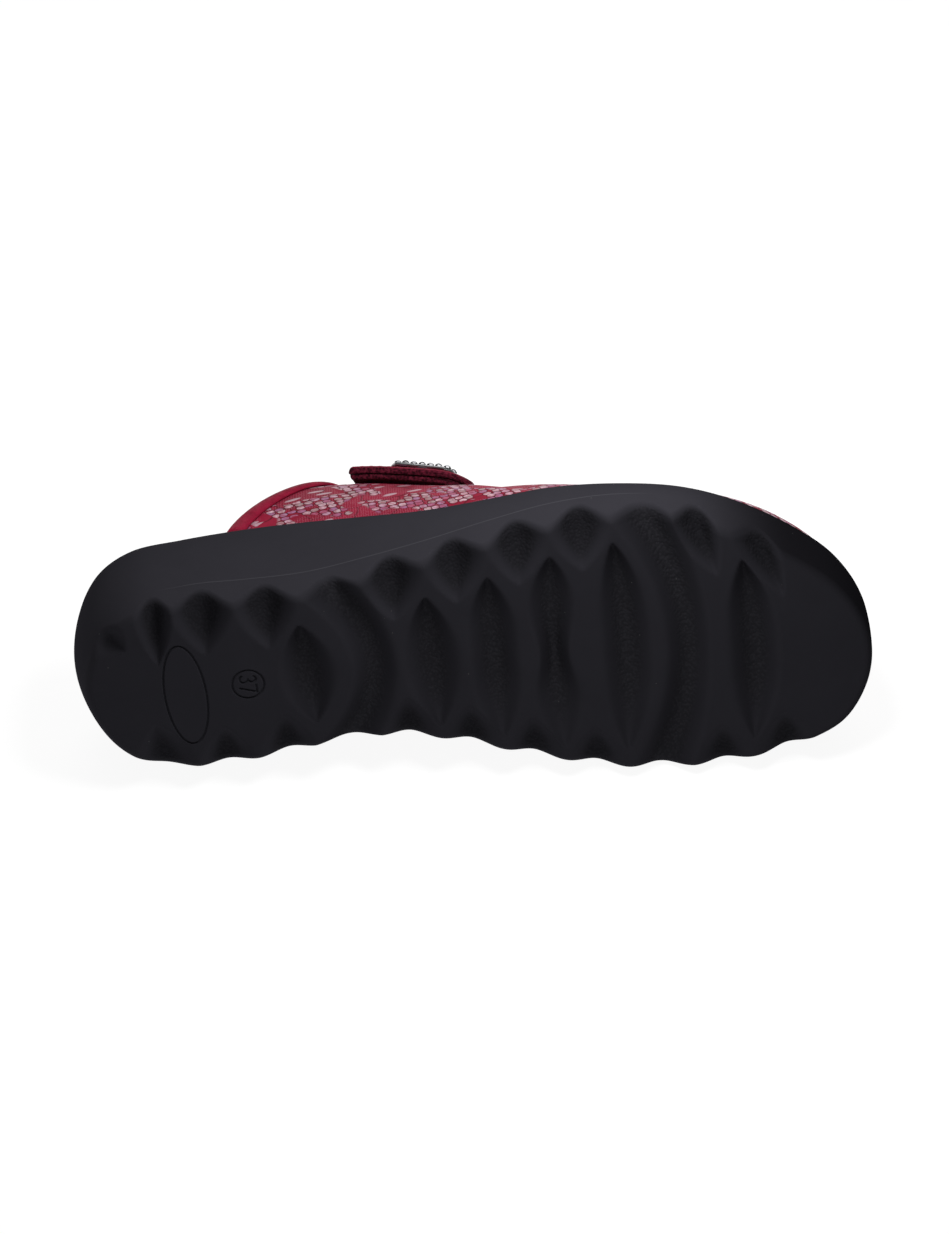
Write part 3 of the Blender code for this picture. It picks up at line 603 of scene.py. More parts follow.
# Colours, in pairs where a material varies between two
# The wall's tones are lighter than the tread's as painted light, standing in for the sheen and light the wall
# catches
WALL_TONES = ((0.0262, 0.0252, 0.0306), (0.0312, 0.0301, 0.0362))
# Painted shade on the sole's wall towards the toe
TOE_WALL_SHADE = (0.0090, 0.0086, 0.0105)
# Painted highlight along the parting line
PARTING_HIGHLIGHT = (0.047, 0.046, 0.053)
TREAD_TONES = ((0.0190, 0.0184, 0.0226), (0.0233, 0.0226, 0.0275))
STIPPLE_TONES = ((0.0226, 0.0221, 0.0260), (0.0168, 0.0164, 0.0194))
# Painted shade in the edge notches
NOTCH_SHADE = (0.0085, 0.0083, 0.0100)
# Painted shade on the steep sides of the pits and channels
FLANK_SHADE = (0.0062, 0.0060, 0.0074)
DUST = (0.08, 0.08, 0.08)
RED = (0.285, 0.010, 0.036)
DEEP_RED = (0.205, 0.006, 0.024)
DARK_LINE = (0.060, 0.004, 0.010)
DOT_PINK = (0.36, 0.085, 0.125)
STROKE_PINK = (0.46, 0.29, 0.34)
PEARL = (0.66, 0.43, 0.50)
SILVER_FOIL = (0.36, 0.26, 0.27)
LILAC = (0.35, 0.16, 0.30)
PINK_FOIL = (0.42, 0.10, 0.18)
FOIL_STOPS = ((0.1, PINK_FOIL), (0.35, LILAC), (0.55, PEARL), (0.8, SILVER_FOIL), (1.0, PEARL))
BINDING_TONES = ((0.175, 0.005, 0.021), (0.265, 0.010, 0.035))
STRAP_EDGE_TONES = ((0.150, 0.008, 0.022), (0.23, 0.018, 0.040))
INSOLE_TONES = ((0.20, 0.125, 0.075), (0.33, 0.22, 0.14))
LINING_TONES = ((0.24, 0.155, 0.10), (0.36, 0.25, 0.17))
HOOK_STOPS = ((0.25, (0.014, 0.002, 0.004)), (0.5, (0.062, 0.005, 0.013)), (0.78, (0.18, 0.018, 0.040)))
THREAD_TONES = ((0.26, 0.025, 0.050), (0.42, 0.060, 0.100))
PLATE_TONES = ((0.30, 0.30, 0.31), (0.46, 0.46, 0.47))
COLLET_TONES = ((0.06, 0.06, 0.062), (0.14, 0.14, 0.143))
CLEAR_STONE_TONES = ((0.30, 0.31, 0.33), (0.66, 0.67, 0.70))
DARK_STONE_TONES = ((0.006, 0.006, 0.008), (0.03, 0.032, 0.036))
PAPER_TONES = ((0.195, 0.195, 0.195), (0.205, 0.205, 0.205))
FAR_PAPER = (0.15, 0.15, 0.15)
WHITE = (1.0, 1.0, 1.0)

# Places along the imported frame, in metres, between which the sole's wall is painted darker towards the toe,
# as painted shade
TOE_SHADE_SPAN = (0.066, 0.102)

# What the sole's points carry for its paint: depth of hollows, depth of edge notches, steepness, tread or
# wall, and the parting line
SOLE_MARKS = ("pressed", "notched", "flank", "under", "parting")


class Paint:
    """A Principled material with short ways to add the nodes that vary it."""

    def __init__(self, name, **fixed):
        self.material = bpy.data.materials.new(name)
        self.material.use_nodes = True
        self.tree = self.material.node_tree
        self.shader = self.tree.nodes["Principled BSDF"]
        for socket, value in fixed.items():
            self.set(socket.replace("_", " "), value)
        self.place = self.node("TexCoord").outputs["Object"]

    def node(self, kind, settings=None, **inputs):
        """A new node with its settings made and its sockets fed; a socket's name has _ for a space."""
        made = self.tree.nodes.new("ShaderNode" + kind)
        for name, value in (settings or {}).items():
            setattr(made, name, value)
        for name, value in inputs.items():
            self.feed(made.inputs[name.replace("_", " ")], value)
        return made

    def feed(self, socket, value):
        """Links an output to a socket, or sets the socket's value."""
        if isinstance(value, bpy.types.NodeSocket):
            self.tree.links.new(value, socket)
        elif isinstance(value, tuple) and len(value) == 3 and socket.type == "RGBA":
            socket.default_value = (*value, 1.0)
        else:
            socket.default_value = value

    def set(self, name, value):
        self.feed(self.shader.inputs[name], value)

    def attribute(self, name):
        return self.node("Attribute", {"attribute_name": name}).outputs["Fac"]

    def sheet(self, cell_x, cell_y, turn=0.0):
        """Flat coordinates of a printed sheet, in cells of the given size in millimetres."""
        flat = self.node("CombineXYZ", X=self.attribute("print_x"), Y=self.attribute("print_y"))
        cells = self.node("Mapping", {"vector_type": "TEXTURE"}, Vector=flat.outputs["Vector"],
                          Scale=(cell_x, cell_y, 1.0), Rotation=(0.0, 0.0, turn))
        return cells.outputs["Vector"]

    def noise(self, scale, detail=2.0, roughness=0.5, place=None):
        made = self.node("TexNoise", Vector=place or self.place, Scale=scale,
                         Detail=detail, Roughness=roughness)
        return made.outputs["Fac"]

    def voronoi(self, scale, feature="F1", place=None, randomness=1.0, dimensions="3D"):
        settings = {"feature": feature, "voronoi_dimensions": dimensions}
        place = place or self.place
        return self.node("TexVoronoi", settings, Vector=place, Scale=scale, Randomness=randomness)

    def ramp(self, value, low, high, to_low=0.0, to_high=1.0):
        """Smooth step of a value between two limits."""
        made = self.node("MapRange", {"interpolation_type": "SMOOTHSTEP"}, Value=value,
                         From_Min=low, From_Max=high, To_Min=to_low, To_Max=to_high)
        return made.outputs["Result"]

    def math(self, operation, first, second):
        made = self.node("Math", {"operation": operation})
        self.feed(made.inputs[0], first)
        self.feed(made.inputs[1], second)
        return made.outputs[0]

    def times(self, first, second):
        return self.math("MULTIPLY", first, second)

    def mix(self, share, first, second):
        made = self.node("Mix", {"data_type": "RGBA"}, Factor=share)
        colours = [socket for socket in made.inputs if socket.type == "RGBA"]
        self.feed(colours[0], first)
        self.feed(colours[1], second)
        return next(socket for socket in made.outputs if socket.type == "RGBA")

    def colours(self, value, stops):
        """A colour ramp with (position, colour) stops."""
        made = self.node("ValToRGB", Fac=value)
        elements = made.color_ramp.elements
        while len(elements) < len(stops):
            elements.new(0.5)
        for element, (position, colour) in zip(elements, stops):
            element.position = position
            element.color = (*colour, 1.0)
        return made.outputs["Color"]

    def red(self, colour):
        """The red channel of a colour, as a number."""
        return self.node("SeparateColor", Color=colour).outputs["Red"]

    def bump(self, height, distance, strength, under=None):
        made = self.node("Bump", Height=height, Distance=distance, Strength=strength)
        if under is not None:
            self.feed(made.inputs["Normal"], under)
        return made.outputs["Normal"]


def sole_paint():
    """Matt foamed polyurethane, stippled in its hollows, with painted light: its wall is painted lighter than
    its tread and darker towards the toe, a painted highlight runs along its parting line, and painted shade
    lies in its edge notches and on the sides of its other hollows.
    """
    paint = Paint("sole_foam", Specular_IOR_Level=0.0)
    pressed, notched, flank, under, parting = (paint.attribute(name) for name in SOLE_MARKS)
    mottle = paint.noise(60.0, 4.0, 0.6)
    along = paint.node("SeparateXYZ", Vector=paint.place).outputs["X"]
    # Painted shade: the wall is painted darker towards the toe
    wall = paint.mix(paint.ramp(along, *TOE_SHADE_SPAN), paint.mix(mottle, *WALL_TONES), TOE_WALL_SHADE)
    # Painted highlight: a lighter line painted along the proud parting line
    wall = paint.mix(paint.ramp(parting, 0.3, 0.9), wall, PARTING_HIGHLIGHT)
    stipple = paint.voronoi(1150.0, "SMOOTH_F1").outputs["Distance"]
    floor = paint.mix(paint.ramp(stipple, 0.15, 0.55), *STIPPLE_TONES)
    tread = paint.mix(paint.ramp(pressed, 0.35, 0.9), paint.mix(mottle, *TREAD_TONES), floor)
    # Tread below, wall above: the wall's lighter tones are painted light
    colour = paint.mix(under, wall, tread)
    # Painted shade in the edge notches, darkest where they are deepest
    colour = paint.mix(paint.ramp(notched, 0.05, 0.75, 0.0, 0.48), colour, NOTCH_SHADE)
    # Painted shade on the steep sides of the pits and channels
    colour = paint.mix(paint.times(flank, 0.38), colour, FLANK_SHADE)
    specks = paint.voronoi(420.0)
    rare = paint.ramp(paint.red(specks.outputs["Color"]), 0.955, 0.965)
    dust = paint.times(paint.ramp(specks.outputs["Distance"], 0.10, 0.04), rare)
    paint.set("Base Color", paint.mix(dust, colour, DUST))
    gloss = paint.ramp(paint.noise(140.0, 3.0), 0.3, 0.7, 0.54, 0.62)
    paint.set("Roughness", paint.math("ADD", gloss, paint.times(under, 0.10)))
    fine = paint.bump(paint.noise(2600.0, 2.0), 0.00004, 0.35)
    masked = paint.times(stipple, paint.ramp(pressed, 0.3, 0.9))
    paint.set("Normal", paint.bump(masked, 0.0004, 0.7, fine))
    return paint.material


def printed_paint():
    """Red leather with foil pebbles in clusters, fine dots, pale strokes and a few dark petal lines; the foil
    carries painted reflections.
    """
    paint = Paint("printed_leather", Specular_IOR_Level=0.05)
    colour = paint.mix(paint.ramp(paint.noise(70.0, 3.0), 0.3, 0.7), DEEP_RED, RED)
    wander = paint.noise(1.0, 1.0, 0.5, paint.sheet(9.0, 9.0))
    petals = paint.node("VectorMath", {"operation": "MULTIPLY_ADD"})
    for socket, value in zip(petals.inputs, (wander, (0.5, 0.5, 0.0), paint.sheet(19.0, 13.0, 0.5))):
        paint.feed(socket, value)
    lines = paint.voronoi(1.0, "DISTANCE_TO_EDGE", petals.outputs["Vector"], 1.0, "2D").outputs["Distance"]
    colour = paint.mix(paint.ramp(lines, 0.030, 0.012, 0.0, 0.7), colour, DARK_LINE)
    clusters = paint.noise(1.0, 1.0, 0.5, paint.sheet(24.0, 17.0, -0.3))
    dots = paint.voronoi(1.0, "F1", paint.sheet(0.85, 0.75), 0.35, "2D").outputs["Distance"]
    dotted = paint.ramp(paint.noise(1.0, 1.0, 0.5, paint.sheet(15.0, 11.0, 0.4)), 0.40, 0.46)
    colour = paint.mix(paint.times(paint.ramp(dots, 0.36, 0.26, 0.0, 0.7), dotted), colour, DOT_PINK)
    leaves = paint.voronoi(1.0, "F1", paint.sheet(9.5, 2.7, 0.45), 0.9, "2D")
    few = paint.ramp(paint.red(leaves.outputs["Color"]), 0.74, 0.76)
    stroke = paint.times(paint.ramp(leaves.outputs["Distance"], 0.34, 0.28), few)
    stroke = paint.times(stroke, paint.ramp(clusters, 0.475, 0.46))
    colour = paint.mix(stroke, colour, STROKE_PINK)
    beads = paint.sheet(3.2, 2.3, 0.30)
    cells = paint.voronoi(1.0, "F1", beads, 0.50, "2D")
    edges = paint.voronoi(1.0, "DISTANCE_TO_EDGE", beads, 0.50, "2D").outputs["Distance"]
    chance = paint.red(cells.outputs["Color"])
    within = paint.times(paint.ramp(clusters, 0.490, 0.510), paint.ramp(chance, 0.06, 0.08))
    rim = paint.times(paint.ramp(cells.outputs["Distance"], 0.58, 0.53), within)
    colour = paint.mix(paint.times(rim, 0.95), colour, DARK_LINE)
    foil = paint.colours(chance, FOIL_STOPS)
    # Painted reflection: fine noise darkens parts of each foil pebble towards red, standing in for the glints
    # of its foil
    painted_reflection = paint.ramp(paint.noise(1.0, 2.0, 0.6, paint.sheet(1.6, 1.3)), 0.35, 0.62)
    foil = paint.mix(painted_reflection, paint.mix(0.6, foil, RED), foil)
    pebble = paint.times(paint.ramp(cells.outputs["Distance"], 0.47, 0.42), paint.ramp(edges, 0.03, 0.07))
    pebble = paint.times(pebble, within)
    paint.set("Base Color", paint.mix(pebble, colour, foil))
    shiny = paint.math("MAXIMUM", pebble, stroke)
    paint.set("Metallic", paint.times(shiny, 0.25))
    paint.set("Roughness", paint.ramp(shiny, 0.0, 1.0, 0.56, 0.36))
    grain = paint.bump(paint.noise(900.0, 3.0, 0.6), 0.00012, 0.5)
    paint.set("Normal", paint.bump(shiny, 0.00012, 0.6, grain))
    return paint.material


def plain_leather_paint(name, tones, roughness):
    """Plain dyed leather with a fine grain and slow colour changes."""
    paint = Paint(name, Specular_IOR_Level=0.06)
    grain = paint.voronoi(1100.0, "SMOOTH_F1").outputs["Distance"]
    tone = paint.times(paint.noise(120.0, 4.0, 0.6), paint.ramp(grain, 0.0, 0.6, 0.8, 1.1))
    paint.set("Base Color", paint.mix(paint.ramp(tone, 0.25, 0.65), *tones))
    paint.set("Roughness", paint.ramp(paint.noise(200.0, 2.0), 0.3, 0.7, roughness - 0.06, roughness + 0.08))
    paint.set("Normal", paint.bump(grain, 0.00018, 0.45))
    return paint.material


def lining_paint():
    """Brushed textile lining, a little fuzzy."""
    paint = Paint("lining_fabric", Specular_IOR_Level=0.2, Sheen_Weight=0.25)
    nap = paint.noise(1700.0, 4.0, 0.7)
    paint.set("Base Color", paint.mix(paint.ramp(nap, 0.3, 0.7), *LINING_TONES))
    paint.set("Roughness", paint.ramp(nap, 0.2, 0.8, 0.82, 0.95))
    paint.set("Normal", paint.bump(nap, 0.00025, 0.6))
    return paint.material


def hook_paint():
    """Dark red hook tape and its backing, with fuzz that catches some light."""
    paint = Paint("hook_tape", Specular_IOR_Level=0.04, Sheen_Weight=0.02)
    fuzz = paint.voronoi(900.0, "F1").outputs["Distance"]
    tangle = paint.noise(1300.0, 4.0, 0.75)
    tone = paint.times(tangle, paint.ramp(fuzz, 0.1, 0.7, 0.6, 1.2))
    paint.set("Base Color", paint.colours(tone, HOOK_STOPS))
    paint.set("Roughness", paint.ramp(tangle, 0.3, 0.7, 0.75, 0.95))
    paint.set("Normal", paint.bump(tone, 0.0005, 0.9))
    return paint.material


def silver_paint(name, tones):
    paint = Paint(name, Metallic=1.0)
    wear = paint.noise(600.0, 3.0)
    paint.set("Base Color", paint.mix(wear, *tones))
    paint.set("Roughness", paint.ramp(wear, 0.3, 0.7, 0.14, 0.26))
    return paint.material


def stone_paint(name, tones, gloss):
    """Cut stone whose tone changes within it."""
    paint = Paint(name, Specular_IOR_Level=gloss)
    paint.set("Base Color", paint.mix(paint.noise(900.0, 1.0), *tones))
    paint.set("Roughness", paint.ramp(paint.noise(500.0, 1.0), 0.3, 0.7, 0.04, 0.09))
    return paint.material


def thread_paint():
    paint = Paint("sewing_thread", Specular_IOR_Level=0.3)
    twist = paint.noise(2200.0, 2.0)
    paint.set("Base Color", paint.mix(twist, *THREAD_TONES))
    paint.set("Roughness", paint.ramp(twist, 0.2, 0.8, 0.6, 0.8))
    return paint.material


# Mesh helpers


def grid_faces(rows, columns, closed):
    """Quads between neighbours in a grid of points; a closed grid also joins its last column to its first."""
    index = np.arange(rows * columns).reshape(rows, columns)
    right = np.roll(index, -1, axis=1)
    quads = np.stack([index[:-1], right[:-1], right[1:], index[1:]], axis=-1)
    if not closed:
        quads = quads[:, :-1]
    return quads.reshape(-1, 4)


def piece(name, points, faces, paints, paint_of=None, attributes=None, smooth=True):
    """A mesh object from points in the shoe's frame, welded, faced outward and laid where the shoe lies."""
    data = bpy.data.meshes.new(name)
    points = np.asarray(points).reshape(-1, 3)
    data.from_pydata((points * MM).tolist(), [], [list(face) for face in faces])
    for attribute, values in (attributes or {}).items():
        carried = data.attributes.new(attribute, "FLOAT", "POINT").data
        carried.foreach_set("value", np.asarray(values, np.float32).ravel())
    for paint in paints:
        data.materials.append(paint)
    if paint_of is not None:
        data.polygons.foreach_set("material_index", np.asarray(paint_of, np.int32))
    mesh = bmesh.new()
    mesh.from_mesh(data)
    bmesh.ops.remove_doubles(mesh, verts=mesh.verts, dist=WELD)
    bmesh.ops.dissolve_degenerate(mesh, edges=mesh.edges, dist=WELD / 10)
    bmesh.ops.recalc_face_normals(mesh, faces=mesh.faces)
    mesh.to_mesh(data)
    mesh.free()
    if smooth:
        data.shade_smooth()
    else:
        data.shade_flat()
    data.transform(SHOE)
    made = bpy.data.objects.new(name, data)
    bpy.context.scene.collection.objects.link(made)
    return made


def dress(made, slot, *nodes):
    """Hands a piece to the frame: it rides on the one body and stands for CAD nodes, whose parts it hides. slot
    is not used.
    """
    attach(made, "root")
    if nodes:
        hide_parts(*nodes)
    return made


def tube_faces(rows, columns):
    """Faces of a closed grid and of the caps on its first and last ring."""
    cap = np.arange(columns)
    return [*grid_faces(rows, columns, closed=True), cap[::-1], cap + (rows - 1) * columns]


# Outsole


def digit_strokes():
    """Points along the strokes of the size in its ring; the digits' tops point to the toe."""
    turn = np.linspace(0.0, 1.0, 40)
    upper = np.radians(150.0 - 240.0 * turn)
    lower = np.radians(90.0 - 240.0 * turn)
    three = np.vstack([
        np.column_stack([0.45 + 0.42 * np.cos(upper), 0.76 + 0.24 * np.sin(upper)]),
        np.column_stack([0.45 + 0.50 * np.cos(lower), 0.26 + 0.26 * np.sin(lower)]),
    ])
    seven = np.vstack([
        np.column_stack([turn, np.ones_like(turn)]),
        np.column_stack([1.0 - 0.65 * turn, 1.0 - turn]),
    ])
    strokes = []
    for place, glyph in ((-0.5, three), (0.5, seven)):
        across = place * DIGIT_SPACING + (glyph[:, 0] - 0.5) * DIGIT_WIDTH
        ahead = (glyph[:, 1] - 0.5) * DIGIT_HEIGHT
        strokes.append(np.column_stack([RING_CENTRE[0] + ahead, RING_CENTRE[1] + across]))
    return np.vstack(strokes)


def mark_distance(plan):
    """Distance in plan from the nearest line pressed into the heel."""
    lean_angle = math.radians(OVAL_LEAN)
    dx, dy = plan[:, 0] - OVAL_CENTRE[0], plan[:, 1] - OVAL_CENTRE[1]
    along = dy * math.cos(lean_angle) + dx * math.sin(lean_angle)
    across = dx * math.cos(lean_angle) - dy * math.sin(lean_angle)
    level = np.hypot(along / OVAL_HALF_LENGTH, across / OVAL_HALF_WIDTH)
    slope = np.hypot(along / OVAL_HALF_LENGTH**2, across / OVAL_HALF_WIDTH**2) / np.maximum(level, TINY)
    oval = np.abs(level - 1.0) / np.maximum(slope, TINY)
    from_ring = np.hypot(plan[:, 0] - RING_CENTRE[0], plan[:, 1] - RING_CENTRE[1])
    found = np.minimum(oval, np.abs(from_ring - RING_RADIUS))
    inside = from_ring < RING_RADIUS
    if inside.any():
        strokes = digit_strokes()
        gaps = np.linalg.norm(plan[inside][:, None, :] - strokes[None], axis=2).min(axis=1)
        found[inside] = np.minimum(found[inside], gaps)
    return found


def press_marks(made):
    """Refines the heel of the tread along the marks and presses them in."""
    data = made.data
    data.transform(SHOE.inverted())
    mesh = bmesh.new()
    mesh.from_mesh(data)
    faces = [face for face in mesh.faces if face.calc_center_median().x < MARKS_END * MM]
    centres = np.array([face.calc_center_median() for face in faces]) / MM
    close = (centres[:, 2] < PARTING_HEIGHT / 2) & (mark_distance(centres[:, :2]) < 2.0 * GROOVE_WIDTH)
    edges = {edge for face, chosen in zip(faces, close) if chosen for edge in face.edges}
    bmesh.ops.subdivide_edges(mesh, edges=list(edges), cuts=GROOVE_CUTS, use_grid_fill=True)
    mesh.to_mesh(data)
    mesh.free()
    places = np.empty(len(data.vertices) * 3)
    data.vertices.foreach_get("co", places)
    places = places.reshape(-1, 3) / MM
    low = (places[:, 2] < PARTING_HEIGHT / 2) & (places[:, 0] < MARKS_END)
    share = mark_distance(places[low][:, :2]) / (GROOVE_WIDTH / 2)
    places[low, 2] += GROOVE_DEPTH * (1.0 - smoothstep(*GROOVE_SIDES, share))
    data.vertices.foreach_set("co", (places * MM).ravel())
    data.transform(SHOE)
    data.shade_smooth()


def flanks(points):
    """Steepness of the inner hollows' sides at plan points, from 0 where they are level up to 1."""
    moves = FLANK_STEP * np.eye(2)
    slopes = [inner_hollows(points + move) - inner_hollows(points - move) for move in moves]
    return smoothstep(*FLANK_SLOPES, np.hypot(*slopes) / (2.0 * FLANK_STEP))


def parting_line(x, sides):
    """Height of the mould's parting line round the wall, and how far it stands proud on the lateral side."""
    height = PARTING_HEIGHT - PARTING_DIP * (1.0 - smoothstep(*PARTING_BEGINS, x))
    shown = smoothstep(*PARTING_BEGINS, x) * (1.0 - smoothstep(*PARTING_ENDS, x)) * (sides == LATERAL)
    return height, PARTING_PROUD * shown


def make_sole():
    """Tread, rounded edge, wall with its parting line, rim and well as one stack of rings."""
    loop = make_loop(SOLE_STEPS)
    core = spine(loop.shares, SPINE_HEEL, SPINE_TOE)
    edge = ring(loop, 0.0)
    x = edge[:, 0]
    rim = rim_height(x)
    foot = tread_height(edge)
    inner = ring(loop, -EDGE_RADIUS)
    rings, marks = [], {name: [] for name in SOLE_MARKS}

    def add(plan, height, ground=None, under=0.0, line=0.0):
        """One ring, with the tread's hollows at its plan points while it lies on the tread."""
        rings.append(raised(plan, height))
        found = (0.0, 0.0, 0.0)
        if under:
            found = (hollows(ground) / PIT_DEPTH, edge_hollows(ground) / LATERAL_NOTCH.depth, flanks(ground))
        for name, value in zip(SOLE_MARKS, (*(under * share for share in found), under, line)):
            marks[name].append(np.broadcast_to(value, len(plan)))

    def add_wall(height, proud=0.0):
        add(ring(loop, wall_lean(x, loop.sides, height) + proud), height, line=proud / PARTING_PROUD)

    for share in np.linspace(0.0, 1.0, TREAD_RINGS):
        plan = core + (inner - core) * share
        add(plan, tread_height(plan), plan, 1.0)
    for turn in EDGE_TURNS:
        inset = EDGE_RADIUS * (1.0 - math.sin(turn))
        ground = ring(loop, -inset)
        height = tread_height(ground) + EDGE_RADIUS * (1.0 - math.cos(turn))
        under = 1.0 - turn / EDGE_TURNS[-1]
        add(ring(loop, wall_lean(x, loop.sides, height) - inset), height, ground, under)
    parting, proud = parting_line(x, loop.sides)
    low, high = parting - PARTING_WIDTH, parting + PARTING_WIDTH
    for share in np.linspace(0.0, 1.0, LOW_WALL_RINGS + 1)[1:]:
        add_wall((foot + EDGE_RADIUS) * (1.0 - share) + low * share)
    add_wall(parting, proud)
    for share in np.linspace(0.0, 1.0, HIGH_WALL_RINGS):
        add_wall(high * (1.0 - share) + (rim - RIM_ROUND) * share)
    top_lean = wall_lean(x, loop.sides, rim - RIM_ROUND)
    for turn in RIM_TURNS:
        inset = RIM_ROUND * (1.0 - math.cos(turn))
        add(ring(loop, top_lean - inset), rim - RIM_ROUND * (1.0 - math.sin(turn)))
    well = ring(loop, flare(x, loop.sides) - RIM_WIDTH)
    for height in (rim, rim - WELL_LIP, well_floor(x)):
        add(well, height)
    add(core, well_floor(core[:, 0]))
    faces = grid_faces(len(rings), len(x), closed=True)
    made = piece("sole_unit", rings, faces, [sole_paint()], attributes=marks)
    press_marks(made)
    return dress(made, "sole_foam", "outsole")


# Insole


def make_insole():
    """A cupped footbed that fills the well, stepped in where the upper's edge goes down beside it."""
    loop = make_loop(INSOLE_STEPS)
    core = spine(loop.shares, SPINE_HEEL, SPINE_TOE)
    x = ring(loop, 0.0)[:, 0]
    beside_upper = smoothstep(INSOLE_STEP_FROM, INSOLE_STEP_TO, x)
    outward = flare(x, loop.sides) - RIM_WIDTH - FIT_GAP - beside_upper * (UPPER_THICKNESS + UPPER_CLEARANCE)
    border = ring(loop, outward)
    inner = ring(loop, outward - INSOLE_EDGE)
    base = well_floor(x) + FIT_GAP
    shoulder = base + INSOLE_THICKNESS + INSOLE_CUP - INSOLE_EDGE
    rings = [raised(core, well_floor(core[:, 0]) + FIT_GAP), raised(border, base), raised(border, shoulder)]
    for turn in INSOLE_TURNS:
        plan = ring(loop, outward - INSOLE_EDGE * (1.0 - math.cos(turn)))
        rings.append(raised(plan, shoulder + INSOLE_EDGE * math.sin(turn)))
    for share in np.linspace(1.0, 0.0, INSOLE_RINGS):
        plan = core + (inner - core) * share
        height = well_floor(plan[:, 0]) + FIT_GAP + INSOLE_THICKNESS + INSOLE_CUP * share**2
        rings.append(raised(plan, height))
    faces = grid_faces(len(rings), len(x), closed=True)
    made = piece("footbed", rings, faces, [plain_leather_paint("insole_leather", INSOLE_TONES, 0.62)])
    return dress(made, "insole_leather", "insole")


# Upper

# Soft troughs in the upper: x and around are the places where one begins and ends, width and depth are
# millimetres, and a low ridge lies beside it
Crease = namedtuple("Crease", "x_from around_from x_to around_to width depth")
CREASES = (
    Crease(132.0, -0.52, 150.0, -0.86, 5.0, 0.7),
    Crease(138.0, -0.30, 172.0, -0.55, 7.0, 0.6),
    Crease(168.0, -0.60, 182.0, 0.45, 8.0, 0.8),
    Crease(186.0, -0.35, 190.0, 0.40, 6.0, 0.5),
    Crease(136.0, 0.35, 165.0, 0.78, 7.0, 0.7),
    Crease(78.0, -0.60, 96.0, -0.82, 6.0, 0.5),
    Crease(84.0, 0.55, 100.0, 0.80, 6.0, 0.5),
)
AROUND_TO_MM = 75.0
CREASE_BEGINS = (-0.25, 0.3)
CREASE_ENDS = (0.7, 1.25)
CREASE_RIDGE = 0.45
CREASE_RIDGE_AWAY = 1.5

# Where the creases fade out: towards the rims, the collar and the toe
RIM_FADE = (0.86, 0.97)
COLLAR_FADE = (0.0, 0.12)
TOE_FADE = (0.8, 0.93)

# Rows of the upper below the rim, as shares of its skirt in the well
SKIRT_ROWS = np.array([0.25, 0.6, 1.0])


def crease_depth(x, around):
    """Depth of the upper's creases at places along the shoe and around it."""
    found = np.zeros(np.broadcast(x, around).shape)
    for crease in CREASES:
        start = np.array([crease.x_from, crease.around_from * AROUND_TO_MM])
        run = np.array([crease.x_to, crease.around_to * AROUND_TO_MM]) - start
        length = np.hypot(*run)
        dx, dy = x - start[0], around * AROUND_TO_MM - start[1]
        along = (dx * run[0] + dy * run[1]) / length**2
        away = (dx * run[1] - dy * run[0]) / length / crease.width
        ends = smoothstep(*CREASE_BEGINS, along) * (1.0 - smoothstep(*CREASE_ENDS, along))
        ridge = CREASE_RIDGE * np.exp(-((away - CREASE_RIDGE_AWAY) ** 2))
        found += crease.depth * ends * (np.exp(-(away**2)) - ridge)
    return found


def sheet_lengths(points, shares, arounds):
    """Millimetres along the shoe and over it at each point of the upper, measured on its surface."""
    run = np.linalg.norm(np.diff(points, axis=0), axis=2)
    along = points[:1, :, 0] + np.concatenate([np.zeros((1, points.shape[1])), np.cumsum(run, axis=0)])
    over = np.empty_like(along)
    places, steps = (np.linspace(0.0, 1.0, count) for count in PRINT_SAMPLES)
    for i, around in enumerate(arounds):
        line = upper_points(places[:, None], around * steps[None, :])
        length = np.linalg.norm(np.diff(line, axis=1), axis=2).sum(axis=1)
        over[:, i] = np.sign(around) * np.interp(shares[:, i], places, length)
    return {"print_x": along, "print_y": over}


def make_upper():
    """One sheet from rim to rim over the ridge, shut at the toe, with its wall given inward and lined."""
    skirt = 1.0 - FIT_GAP / WELL_DEPTH
    rise = np.arange(1, UPPER_RISE_STEPS + 1) / UPPER_RISE_STEPS
    lower = 1.0 + skirt * SKIRT_ROWS
    arounds = np.concatenate([-lower[::-1], -rise[::-1], [0.0], rise, lower])
    start = collar_share(arounds)
    steps = np.linspace(0.0, 1.0, UPPER_STEPS + 1)[:, None]
    shares = start + (1.0 - start) * steps
    around = np.broadcast_to(arounds, shares.shape)
    points = upper_points(shares, around)
    fade = 1.0 - smoothstep(*RIM_FADE, np.abs(around))
    depth = crease_depth(points[..., 0], around) * fade * smoothstep(*COLLAR_FADE, steps)
    depth = depth * (1.0 - smoothstep(*TOE_FADE, shares))
    shaped = np.where(depth[..., None] == 0.0, points, upper_points(shares, around, -depth))
    faces = grid_faces(*shares.shape, closed=False)
    print_at = sheet_lengths(points, shares, arounds)
    made = piece("upper_shell", shaped, faces, [printed_paint(), lining_paint()], attributes=print_at)
    wall = made.modifiers.new("wall", "SOLIDIFY")
    wall.thickness = UPPER_THICKNESS * MM
    wall.offset = -1.0
    wall.use_even_offset = True
    wall.material_offset = 1
    wall.material_offset_rim = 1
    return dress(made, "printed_leather", "upper")


# Collar binding


